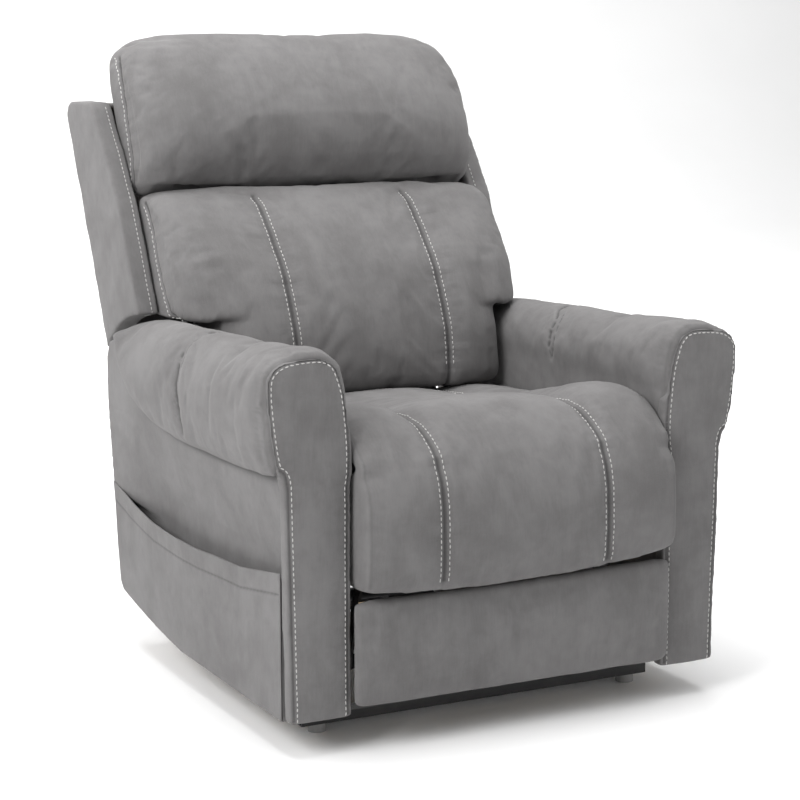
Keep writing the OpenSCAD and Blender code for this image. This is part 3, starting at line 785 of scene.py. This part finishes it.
seatCover = {
    # the shown line of the section (y, z), from the seat's rear over the crest to the foot of the drop
    "shown": [
        (520, 451), (470, 456), (430, 459), (370, 465), (315, 473), (195, 496), (135, 507), (90, 510),
        (45, 504), (10, 487), (-12, 472), (-24, 460), (-34, 446), (-47, 414), (-55, 370), (-56, 310), (-52, 266),
    ],
    # joins the seat and the drop under the knee
    "bridge": [(-28, 443), (-26, 457), (-10, 467), (12, 468), (12, 448), (-12, 436)],
    "bridgeHalf": 278.4, "twinRow": 148, "edgeRow": 273, "rowHalf": 7.6,
    "voxel": 0.0052, "shrink": 0.004, "cap": 0.016, "pressure": 4.2, "swell": 0.009,
    # past this half width the cover keeps its place
    "side": 0.2705,
    # the near end of the drop hangs a little lower: slope, where it starts and over what height
    "slope": 0.045, "dropTop": 0.450, "dropHeight": 0.205,
    # flanges at both ends of the drop lap behind the arm fronts
    "flange": 0.246, "lap": 0.036, "lapDown": 0.010,
    "seam": (0.0042, 0.0030, 0.55), "edgeSeam": (0.004, 0.0012, 0.3), "gather": (0.020, 0.0007),
    # from the carriage to the flap, slanted
    "knee": ((0, -10, 472), (0, -30, 432)),
}


def laid(tree, x, line, gap=0.002):
    # the section's line laid on the cover at one x, along its own normals
    path = sampled([at(x, y, z) for y, z in line], gap)
    out = []
    for i, point in enumerate(path):
        run = (path[min(len(path) - 1, i + 3)] - path[max(0, i - 3)]).normalized()
        inward = Vector((0, -run.z, run.y))
        hit, normal, _, _ = tree.ray_cast(point - inward * 0.035, inward, 0.08)
        if hit is not None:
            out.append((hit, normal))
    return out


def coverLines(mesh, x):
    tree = treeOf(mesh)
    return [spots(laid(tree, side * x, seatCover["shown"])) for side in sides]


def makeSeat(cloth, group, thread):
    facts = seatCover
    half = facts["bridgeHalf"]
    bridge = lofted("bridge", [[at(x, y, z) for y, z in facts["bridge"]] for x in (-half, half)])
    mesh = evened(voxels(joined(solidOf("seat_cushion", "chaise_pad"), bridge), facts["voxel"]), 0.6, 6)
    points = places(mesh)
    x, y, z = points.T
    z += facts["slope"] * np.minimum(x, 0) * ramp(z, facts["dropTop"], -facts["dropHeight"])
    flange = ramp(np.abs(x), facts["flange"], 0.008) * ramp(z, 0.443, -0.02)
    behind = ramp(y, at(0, -34, 0).y, 0.025)
    z -= facts["lapDown"] * flange * ramp(z, 0.30, -0.03) * behind
    y += facts["lap"] * flange * behind
    setPlaces(mesh, points)
    middle, edges = coverLines(mesh, facts["twinRow"]), coverLines(mesh, facts["edgeRow"])
    # drawn in before it is filled, less where it is thin
    points, normals = places(mesh), directions(mesh)
    x, y, z = points.T
    thin = np.clip((at(0, 470, 0).y - y) / 0.15, 0.1, 1)
    inside = np.abs(x) < facts["side"]
    setPlaces(mesh, points - normals * thin[:, None] * np.array([0, 1, 1]) * facts["shrink"] * inside[:, None])
    dropBack = (z < 0.4535) & (normals[:, 1] > 0.3) & (y > at(0, -36, 0).y)
    underside = (normals[:, 2] < -0.5) & (y > at(0, -16, 0).y)
    hold = held(mesh, middle + edges, 0.014, dropBack | underside | (np.abs(x) > facts["side"]))
    mesh = filled(mesh, hold, facts)
    middle, edges = coverLines(mesh, facts["twinRow"]), coverLines(mesh, facts["edgeRow"])
    seams = along(middle, *facts["seam"]) + along(edges, *facts["edgeSeam"])
    tailored(mesh, seams, along(middle, *facts["gather"]), seed=3, wave=0.0009)
    cover = link("seatCover", mesh, cloth)
    tree = treeOf(mesh)
    offsets = (-facts["rowHalf"], facts["rowHalf"])
    rows = [laid(tree, side * facts["twinRow"] + off, facts["shown"], 0.004) for side in sides for off in offsets]
    sewn = stitched("seatStitches", rows, group, thread)
    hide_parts("seat_cushion", "chaise_pad")
    start, end = (at(*place) for place in facts["knee"])
    for piece in (cover, sewn):
        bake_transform(piece)
    print("seat cover made", len(mesh.polygons))


# ---- back cushions ----
# the seam lies round the side of the cushion's front, (y, z); square is the half width and how much it grows
lumbar = {
    "node": "lumbar_cushion", "name": "lumbarCushion", "stitches": "lumbarStitches", "body": "back",
    "voxel": 0.0052, "shrink": 0.003, "cap": 0.016, "pressure": 4.5, "swell": 0.011,
    "fill": 0.7, "square": (0.3345, 0.010), "earDrop": 0.007,
    "rows": (-142, 156), "rowHalf": 7.6,
    "seam": [
        (738, 806), (722, 790), (690, 745), (664, 689), (634, 640),
        (610, 607), (585, 570), (568, 530), (556, 490), (552, 474),
    ],
    # where the arm's top presses each side in
    "tuck": ((300, 560, 600), (330, 600, 604)),
    # each seam's width, depth and shade
    "rowSeam": (0.0042, 0.0032, 0.55), "edgeSeam": (0.0034, 0.0042, 0.9), "tuckSeam": (0.007, 0.0025, 0.45),
}
headrest = {
    "node": "headrest_cushion", "name": "headrestCushion", "stitches": "headrestStitches", "body": "headrest",
    "voxel": 0.0052, "shrink": 0.003, "cap": 0.012, "pressure": 4.0, "swell": 0.009,
    "fill": 0.75, "square": (0.3365, 0.014),
    "seam": [(776, 808), (778, 822), (786, 878), (806, 945), (826, 1001), (846, 1040), (866, 1066)],
    # closes the slots of the two carriers
    "plug": [(768, 794), (800, 790), (800, 835), (768, 835)], "plugWide": (150, 300),
    "edgeSeam": (0.0034, 0.0042, 0.9),
}


def sideSeam(tree, points, side, half):
    path = sampled(curved([at(side * half, y, z) for y, z in points], 6), 0.002)
    return pressed(path, tree)


def alongFront(tree, x, low, high):
    # a row up the cushion's front at one x
    path = [at(x, 300, z) for z in np.arange(low, high, 2.0)]
    out = []
    for p in path:
        hit, normal, _, _ = tree.ray_cast(p, Vector((0, 1, 0)))
        if hit is not None and hit.y < at(0, 800, 0).y:
            out.append((hit, normal))
    return out


def sideSeams(mesh, seam, half):
    tree = treeOf(mesh)
    return [spots(sideSeam(tree, seam, side, half)) for side in sides]


def frontRows(mesh, low, high):
    tree = treeOf(mesh)
    return [spots(alongFront(tree, x, low, high)) for x in lumbar["rows"]]


def finishCushion(facts, mesh, rows, cloth, group, thread):
    cushion = link(facts["name"], mesh, cloth)
    sewn = stitched(facts["stitches"], rows, group, thread)
    seated(cushion, facts["body"], "suede", facts["node"])
    seated(sewn, facts["body"], "suede")
    print(facts["name"], "made", len(mesh.polygons))


def makeLumbar(cloth, group, thread):
    facts, seam = lumbar, lumbar["seam"]
    mesh = evened(voxels(solidOf(facts["node"]), facts["voxel"]), 0.5, 6)
    squared(mesh, seam, *facts["square"])
    # the ears come down onto the arms
    points = places(mesh)
    x, y, z = points.T
    z -= facts["earDrop"] * (ramp(np.abs(x), 0.278, 0.01) * ramp(z, 0.650, -0.03))
    setPlaces(mesh, points)
    rows, edges = frontRows(mesh, 470, 800), sideSeams(mesh, seam, 340)
    shrunk(mesh, facts["shrink"], ramp(np.abs(places(mesh)[:, 0]), 0.24, 0.05))
    x, y, z = places(mesh).T
    wide = np.abs(x)
    rear = y > at(0, 700, 0).y + (z - 0.6) * 0.45
    ears = (wide > 0.267) & (z < 0.606)
    lowSides = 0.9 * ramp(wide, 0.235, 0.05) * ramp(z, 0.70, -0.06)
    hold = held(mesh, rows + edges, 0.014, (rear | (wide > 0.330) | ears) + lowSides)
    mesh = filled(mesh, np.clip(hold, 0, 1), facts)
    rows, edges = frontRows(mesh, 462, 806), sideSeams(mesh, seam, 345)
    tree = treeOf(mesh)
    tucks = [spots(pressed(sampled([at(side * x, y, z) for x, y, z in facts["tuck"]]), tree)) for side in sides]
    seams = along(rows, *facts["rowSeam"]) + along(edges, *facts["edgeSeam"]) + along(tucks, *facts["tuckSeam"])
    pulls = along(rows, 0.022, 0.0007) + along(edges, 0.020, 0.0009)
    tailored(mesh, seams, pulls, seed=11, wave=0.0010)
    tree = treeOf(mesh)
    offsets = (-facts["rowHalf"], facts["rowHalf"])
    stitchRows = [alongFront(tree, x + off, 508, 802)[::2] for x in facts["rows"] for off in offsets]
    stitchRows += [sideSeam(tree, [(y + 9, z) for y, z in seam[1:8]], side, 350)[::2] for side in sides]
    finishCushion(facts, mesh, stitchRows, cloth, group, thread)


def makeHeadrest(cloth, group, thread):
    facts, seam = headrest, headrest["seam"]
    plugs = [
        lofted("slotPlug", [[at(side * x, y, z) for y, z in facts["plug"]] for x in facts["plugWide"]])
        for side in sides
    ]
    mesh = evened(voxels(joined(solidOf(facts["node"]), *plugs), facts["voxel"]), 0.5, 6)
    squared(mesh, seam, *facts["square"])
    edges = sideSeams(mesh, seam, 345)
    shrunk(mesh, facts["shrink"], ramp(np.abs(places(mesh)[:, 0]), 0.28, 0.04))
    x, y, z = places(mesh).T
    wide = np.abs(x)
    rear = y > at(0, 850, 0).y - 0.012 + (z - 0.885) * 0.56
    slots = (y > at(0, 746, 0).y) & (z > 0.782) & (z < 0.906) & (wide > 0.144) & (wide < 0.308)
    hold = held(mesh, edges, 0.014, rear | (wide > 0.331) | slots)
    mesh = filled(mesh, hold, facts)
    edges = sideSeams(mesh, seam, 350)
    tailored(mesh, along(edges, *facts["edgeSeam"]), along(edges, 0.022, 0.0009), seed=23, wave=0.0011)
    tree = treeOf(mesh)
    stitchRows = [sideSeam(tree, [(y + 9.5, z) for y, z in seam], side, 350)[::2] for side in sides]
    finishCushion(facts, mesh, stitchRows, cloth, group, thread)


# ---- covered boards: wings, rear panel, arm panels ----
coveredBoards = {
    # node: name, body, voxel size, height of the cloth's waves
    "back_wing_left": ("wingLeft", "back", 0.0046, 0.0035),
    "back_wing_right": ("wingRight", "back", 0.0046, 0.0035),
    "back_rear_panel": ("backRearPanel", "back", 0.0046, 0.0015),
    "arm_inner_panel_left": ("armInnerPanelLeft", "carriage", 0.0056, 0.0015),
    "arm_inner_panel_right": ("armInnerPanelRight", "carriage", 0.0056, 0.0015),
    "arm_outer_panel_left": ("armOuterPanelLeft", "carriage", 0.0034, 0.0003),
    "arm_outer_panel_right": ("armOuterPanelRight", "carriage", 0.0050, 0.0015),
    "arm_rear_panel_left": ("armRearPanelLeft", "carriage", 0.0050, 0.0015),
    "arm_rear_panel_right": ("armRearPanelRight", "carriage", 0.0050, 0.0015),
}
# the lower outer edge of the arm's pad, (y, z)
padFoot = [
    (691, 562), (668, 534), (645, 498), (610, 468), (564, 449),
    (480, 434), (401, 425), (217, 424), (100, 429), (24, 437),
]
# the stitched row along the wing's front edge: its x, and (y, z)
wingRow = 351
wingEdge = [(655, 600), (700, 690), (752, 793), (815, 880), (880, 958)]


def rearFilled(mesh):
    # the leaning panel comes out to the pocket's own plane towards the rear
    points = places(mesh)
    y, z = (points[:, 1] + middleY) * 1000, points[:, 2] * 1000
    face = pocket["outer"] - ramp(z, 430, -130) * pocket["lean"]
    skin = np.clip((np.abs(points[:, 0]) * 1000 - face + 5) / 4, 0, 1)
    mouth = np.interp(y, *zip(*pocket["mouth"]))
    share = ramp(y, 560, 180)
    share = share * share * (3 - 2 * share) * np.clip((z - mouth + 18) / 12, 0, 1) * skin
    points[:, 0] -= share * (pocket["outer"] - 1 - face) / 1000
    setPlaces(mesh, points)


def armFoot(side):
    # the lower outer edge of the arm's pad
    return sampled([at(side * 395, y, z) for y, z in padFoot], 0.003)


def makeBoards(cloth):
    made = {}
    for index, (node, (name, body, voxel, wave)) in enumerate(coveredBoards.items()):
        mesh = solidOf(node)
        if node.startswith("back_wing"):
            mesh = beveled(mesh, 0.009)
        mesh = evened(voxels(mesh, voxel), 0.5, 5)
        if name == "armOuterPanelLeft":
            rearFilled(mesh)
        # painted shadow: a dark band on the outer panel under the pad's lower edge, with no groove
        paintedPadShadow = []
        if name.startswith("armOuter"):
            paintedPadShadow = along([armFoot(-1 if name.endswith("Left") else 1)], 0.008, 0.0, 0.75)
        tailored(mesh, paintedPadShadow, [], seed=40 + index, wave=wave * 0.4, rub=0.7)
        made[name] = link(name, mesh, cloth)
        seated(made[name], body, "suede", node)
        print(name, "made", len(mesh.polygons))
    return made


def makeWingStitches(made, group, thread):
    rows = []
    for side, name in zip(sides, ("wingLeft", "wingRight")):
        tree = treeOf(made[name].data)
        path = sampled(curved([at(side * wingRow, y - 60, z) for y, z in wingEdge], 6), 0.004)
        rows.append(pressed(path, tree, towards=(0, 1, 0)))
    sewn = stitched("wingStitches", rows, group, thread)
    seated(sewn, "back", "suede")


armFront = {
    "voxel": 0.0042, "seamIn": 6.5, "stitchIn": 11.5, "crown": 0.0045, "crownReach": 0.050, "rim": 0.006,
    # the outline (x, z) from the foot outside, round the head, to the foot inside
    "outer": [(388, 62), (391, 230)],
    "head": [
        (395, 424), (399, 442), (410, 451), (416, 475), (421, 510), (425, 548), (426, 572), (424, 592),
        (416, 605), (404, 614), (389, 619.5), (365, 622.5), (340, 623), (324, 620), (311, 612), (301, 598),
        (293, 575), (288, 553), (284, 520), (281, 480), (280.5, 456), (281.5, 435), (284, 418),
    ],
    "inner": [(284, 250), (284, 62)],
}


def frontLine(side, inward):
    # the arm front's outline, moved inward
    head = [(v.x, v.y) for v in curved([Vector((x, z, 0)) for x, z in armFront["head"]], 6)]
    line = armFront["outer"] + head + armFront["inner"]
    out = []
    for i, (x, z) in enumerate(line):
        a, b = line[max(0, i - 1)], line[min(len(line) - 1, i + 1)]
        run = Vector((b[0] - a[0], b[1] - a[1])).normalized()
        out.append(Vector((side * (x - run.y * inward), z + run.x * inward)))
    return out


def onFront(tree, side, inward, gap):
    line = [at(v.x, -20, v.y) for v in frontLine(side, inward)]
    return pressed(sampled(line, gap), tree, towards=(0, 1, 0))


def makeArmFronts(cloth, group, thread):
    facts, rows = armFront, []
    for side, node, name in bothOf("arm_front_panel", "armFrontPanel"):
        mesh = finer(evened(voxels(solidOf(node), facts["voxel"]), 0.6, 5))
        # the head is drawn in under the pad's rim, and the padded face stands out a little in its middle
        points, normals = places(mesh), directions(mesh)
        shoulder = np.where(points[:, 0] * side > 0.345, 0.440, 0.505)
        head = ramp(points[:, 2], shoulder, 0.012)
        points -= (head * facts["rim"])[:, None] * normals * [1, 0, 1]
        outline = [Vector((v.x / 1000, 0, v.y / 1000)) for v in frontLine(side, 0)]
        gap, _ = nearness(points * [1, 0, 1], sampled(outline, 0.004))
        crown = facts["crown"] * np.sin(np.clip(gap / facts["crownReach"], 0, 1) * math.pi / 2)
        points[:, 1] -= crown * (points[:, 1] < at(0, 8, 0).y)
        setPlaces(mesh, points)
        groove = [spots(onFront(treeOf(mesh), side, facts["seamIn"], 0.002))]
        seams, pulls = along(groove, 0.0030, 0.0022, 0.75), along(groove, 0.014, 0.0005)
        tailored(mesh, seams, pulls, seed=60 + side, wave=0.0007)
        seated(link(name, mesh, cloth), "carriage", "suede", node)
        rows.append(onFront(treeOf(mesh), side, facts["stitchIn"], 0.004))
        print(name, "made", len(mesh.polygons))
    seated(stitched("armFrontStitches", rows, group, thread), "carriage", "suede")


armPad = {
    "voxel": 0.0062, "shrink": 0.004, "cap": 0.014, "pressure": 3.6, "swell": 0.007,
    # how far the front end laps over the arm's front, and the inner lip hangs over the inner panel
    "lap": 0.023, "lip": 0.052, "lipOut": 0.0035,
}
# how far back the crossing seam lies round each arm, by the angle round its head
padSeam = {
    "angle": (-70, -50, 0, 45, 70, 90, 110, 135, 180, 185),
    -1: (350, 355, 373, 376, 364, 352, 352, 356, 362, 362),
    1: (366, 368, 376, 390, 398, 402, 396, 371, 357, 357),
}


def crossing(tree, side):
    ring = []
    for turn in np.linspace(padSeam["angle"][0], padSeam["angle"][-1], 110):
        y = float(np.interp(turn, padSeam["angle"], padSeam[side]))
        c, s = math.cos(math.radians(turn)), math.sin(math.radians(turn))
        ring.append(at(side * (350 + 90 * c), y, 540 + 110 * s))
    return spots(pressed(sampled(curved(ring[::6] + ring[-1:], 6)), tree))


def makeArmPads(cloth):
    facts = armPad
    for side, node, name in bothOf("arm_pad", "armPad"):
        mesh = evened(voxels(solidOf(node), facts["voxel"]), 0.6, 6)
        # the front end stays full and laps over the rim of the arm's front
        points = places(mesh)
        x, y, z = points.T
        wide = np.abs(x)
        fore = ramp(y, at(0, 62, 0).y, -0.036)
        y -= facts["lap"] * fore
        z -= facts["lip"] * (ramp(wide, 0.345, -0.02) * ramp(z, 0.545, -0.035) * ramp(y, at(0, 640, 0).y, -0.05))
        x -= side * facts["lipOut"] * ramp(wide, 0.320, -0.02) * ramp(z, 0.60, -0.06)
        setPlaces(mesh, points)
        cross = crossing(treeOf(mesh), side)
        inner = ramp(np.abs(places(mesh)[:, 0]), 0.335, -0.02)
        shrunk(mesh, facts["shrink"], np.maximum(fore, inner))
        x, y, z = places(mesh).T
        wide = np.abs(x)
        ends = (y < at(0, 26, 0).y) | (y > at(0, 684, 0).y)
        rims = ((wide < 0.392) & (z < 0.535)) | ((wide > 0.380) & (z < 0.440))
        mesh = filled(mesh, held(mesh, [cross], 0.010, ends | rims), facts)
        tree = treeOf(mesh)
        cross, foot = crossing(tree, side), armFoot(side)
        rim = [at(v.x, 8, v.y) for v in frontLine(side, 0) if v.y > 446]
        rim = spots(pressed(sampled(rim), tree))
        # the rim and the foot carry only painted shade, no groove: along the rim over the arm's front and under the
        # pad's lower edge
        seams = [(cross, 0.0032, 0.0030, 0.75), (rim, 0.004, 0.0, 0.35), (foot, 0.006, 0.0, 0.8)]
        tailored(mesh, seams, [(cross, 0.018, 0.0008), (rim, 0.020, 0.0010)], seed=80 + side, wave=0.0012)
        piece = link(name, mesh, cloth)
        seated(piece, "carriage", "suede", node)
        print(name, "made", len(mesh.polygons))


footPad = {"voxel": 0.0050, "shrink": 0.003, "cap": 0.012, "pressure": 3.0, "swell": 0.004, "rise": 0.006}


def makeFootrest(cloth):
    mesh = evened(voxels(solidOf("footrest_pad"), footPad["voxel"]), 0.6, 5)
    points = places(mesh)
    x, y, z = points.T
    z += footPad["rise"] * np.clip(x / 0.28, 0, 1) * ramp(z, 0.15, 0.08)
    setPlaces(mesh, points)
    low, high = points.min(axis=0), points.max(axis=0)
    rim = np.minimum(points - low, high - points)[:, [0, 2]].min(axis=1)
    hold = np.maximum(np.clip(1 - (rim - 0.010) / 0.016, 0, 1), y > at(0, -8, 0).y)
    shrunk(mesh, footPad["shrink"], hold)
    mesh = filled(mesh, hold, footPad)
    tailored(mesh, [], [], seed=95, wave=0.0009)
    piece = link("footrestPad", mesh, cloth)
    seated(piece, "foot_panel", "suede", "footrest_pad")
    print("footrest pad made", len(mesh.polygons))


# ---- side pocket: an open pouch sewn to the arm along its foot and ends ----
pocket = {
    # edges (y, z): the open mouth, the foot and the rear end
    "mouth": [(22.5, 289), (173, 266), (342, 258), (450, 257), (551, 260), (660, 274), (764, 294)],
    "foot": [(22.5, 57), (440, 57), (560, 71), (700, 94), (724, 100)],
    "rear": [(724, 100), (738, 113), (750, 185), (765, 294)],
    "front": 22.5, "outer": 393.0, "thick": 3.0, "hem": 33, "lean": 26.0,
    # the cloth laid flat, in metres
    "cut": (0.745, 0.237),
    "columns": 150, "rows": 56,
    # how far the mouth stands open, and the belly and the folds of the cloth
    "gape": 7.5, "belly": 2.6, "fold": 0.8,
}


def between(points, y):
    return float(np.interp(y, *zip(*points)))


def pouchPoint(u, v):
    # u runs along the arm, v from the foot to the mouth, both from nought to one
    front = pocket["front"]
    low = between(pocket["foot"], front + u * (pocket["rear"][0][0] - front))
    top = between(pocket["mouth"], front + u * (pocket["rear"][-1][0] - front))
    z = low + (top - low) * v
    rear = float(np.interp(z, [p[1] for p in pocket["rear"]], [p[0] for p in pocket["rear"]]))
    # the mouth stands open, most in its rear half, and the cloth bellies a little
    gape = pocket["gape"] * math.exp(-((u - 0.62) / 0.26) ** 2) * v ** 3
    belly = pocket["belly"] * math.sin(math.pi * u) * math.sin(math.pi * min(1, v * 0.9 + 0.05))
    fold = pocket["fold"] * math.sin(u * 19 + 1.3 * math.sin(v * 5)) * v * math.sin(math.pi * u)
    return (-(pocket["outer"] + gape + belly + fold), front + u * (rear - front), z)


def pouchMesh():
    # one thickness of cloth: the outer face, the inner face and the edge round both
    cols, rows = pocket["columns"], pocket["rows"]
    outer = [pouchPoint(j / cols, i / rows) for i in range(rows + 1) for j in range(cols + 1)]
    inner = [(x + pocket["thick"], y, z) for x, y, z in outer]
    count, shift = cols + 1, len(outer)
    faces = []
    for i in range(rows):
        for a in range(i * count, i * count + cols):
            faces.append((a, a + count, a + count + 1, a + 1))
            faces.append((shift + a, shift + a + 1, shift + a + count + 1, shift + a + count))
    for i in range(rows):
        for a, b in ((i * count, (i + 1) * count), ((i + 1) * count + cols, i * count + cols)):
            faces.append((a, shift + a, shift + b, b))
    for j in range(cols):
        for a, b in ((j + 1, j), (rows * count + j, rows * count + j + 1)):
            faces.append((a, shift + a, shift + b, b))
    return finer(meshOf("sidePocket", [at(*p) for p in outer + inner], faces))


def makePocket(cloth):
    mesh = pouchMesh()
    line = [at(-420, y, between(pocket["mouth"], y) - pocket["hem"]) for y in np.arange(28, 756, 3.0)]
    hem = [spots(pressed(sampled(line), treeOf(mesh), towards=(1, 0, 0)))]
    tailored(mesh, along(hem, 0.0026, 0.0014, 0.6), along(hem, 0.012, 0.0004), seed=101, wave=0.0005)
    piece = link("sidePocket", mesh, cloth)
    # the pouch's own floor and closed ends, behind the shown cloth
    lining = link("pocketLining", pocketLining(), cloth)
    seated(piece, "carriage", "suede", "side_pocket")
    seated(lining, "carriage", "suede")
    print("side pocket made", len(mesh.polygons))


def pocketLining():
    # the frame's own pocket without its outer skin: floor and ends
    mesh = solidOf("side_pocket")
    fresh = bmesh.new()
    fresh.from_mesh(mesh)
    limit = -(pocket["outer"] - pocket["thick"] - 0.4) / 1000
    everything = fresh.verts[:] + fresh.edges[:] + fresh.faces[:]
    bmesh.ops.bisect_plane(fresh, geom=everything, plane_co=(limit, 0, 0), plane_no=(-1, 0, 0), clear_outer=True)
    bmesh.ops.holes_fill(fresh, edges=[e for e in fresh.edges if e.is_boundary], sides=0)
    bmesh.ops.recalc_face_normals(fresh, faces=fresh.faces)
    fresh.to_mesh(mesh)
    fresh.free()
    return mesh


# ---- handset and keys ----
keys = {
    # node: name, body
    "button_raise": ("keyRaise", "key_raise"),
    "button_lower": ("keyLower", "key_lower"),
    "button_back_up": ("keyBackUp", "key_back_up"),
    "button_back_down": ("keyBackDown", "key_back_down"),
}


def rounded(node, name, body, slot, material, width):
    piece = link(name, beveled(solidOf(node), width), material)
    seated(piece, body, slot, node)


def makeHandset(shell, keyPlastic):
    rounded("handset", "handsetShell", "handset_body", "plastic", shell, 0.0012)
    for node, (name, body) in keys.items():
        rounded(node, name, body, "keys", keyPlastic, 0.0006)
    print("handset made")


makeCamera()
makeStudio()
suedeCloth = makeSuede()
threadFinish = makeThread()
finishes = {
    "blackSteel": makeSteel(),
    "brightZinc": makeZinc(),
    "plyTimber": makeTimber(),
    "elasticWebbing": makeWebbing(),
    "blackPlastic": makePlastic("blackPlastic", (0.012, 0.012, 0.013), (0.035, 0.035, 0.037), 0.42),
    "greyPlastic": makePlastic("greyPlastic", (0.22, 0.22, 0.22), (0.34, 0.34, 0.335), 0.5),
    "keyPlastic": makePlastic("keyPlastic", (0.42, 0.42, 0.43), (0.56, 0.56, 0.57), 0.45),
}
stitchTree = stitchGroup()
makeSeat(suedeCloth, stitchTree, threadFinish)
makeLumbar(suedeCloth, stitchTree, threadFinish)
makeHeadrest(suedeCloth, stitchTree, threadFinish)
boards = makeBoards(suedeCloth)
makeWingStitches(boards, stitchTree, threadFinish)
makeArmFronts(suedeCloth, stitchTree, threadFinish)
makeArmPads(suedeCloth)
makeFootrest(suedeCloth)
makePocket(suedeCloth)
makeHandset(finishes["blackPlastic"], finishes["keyPlastic"])
dressSolids(finishes)
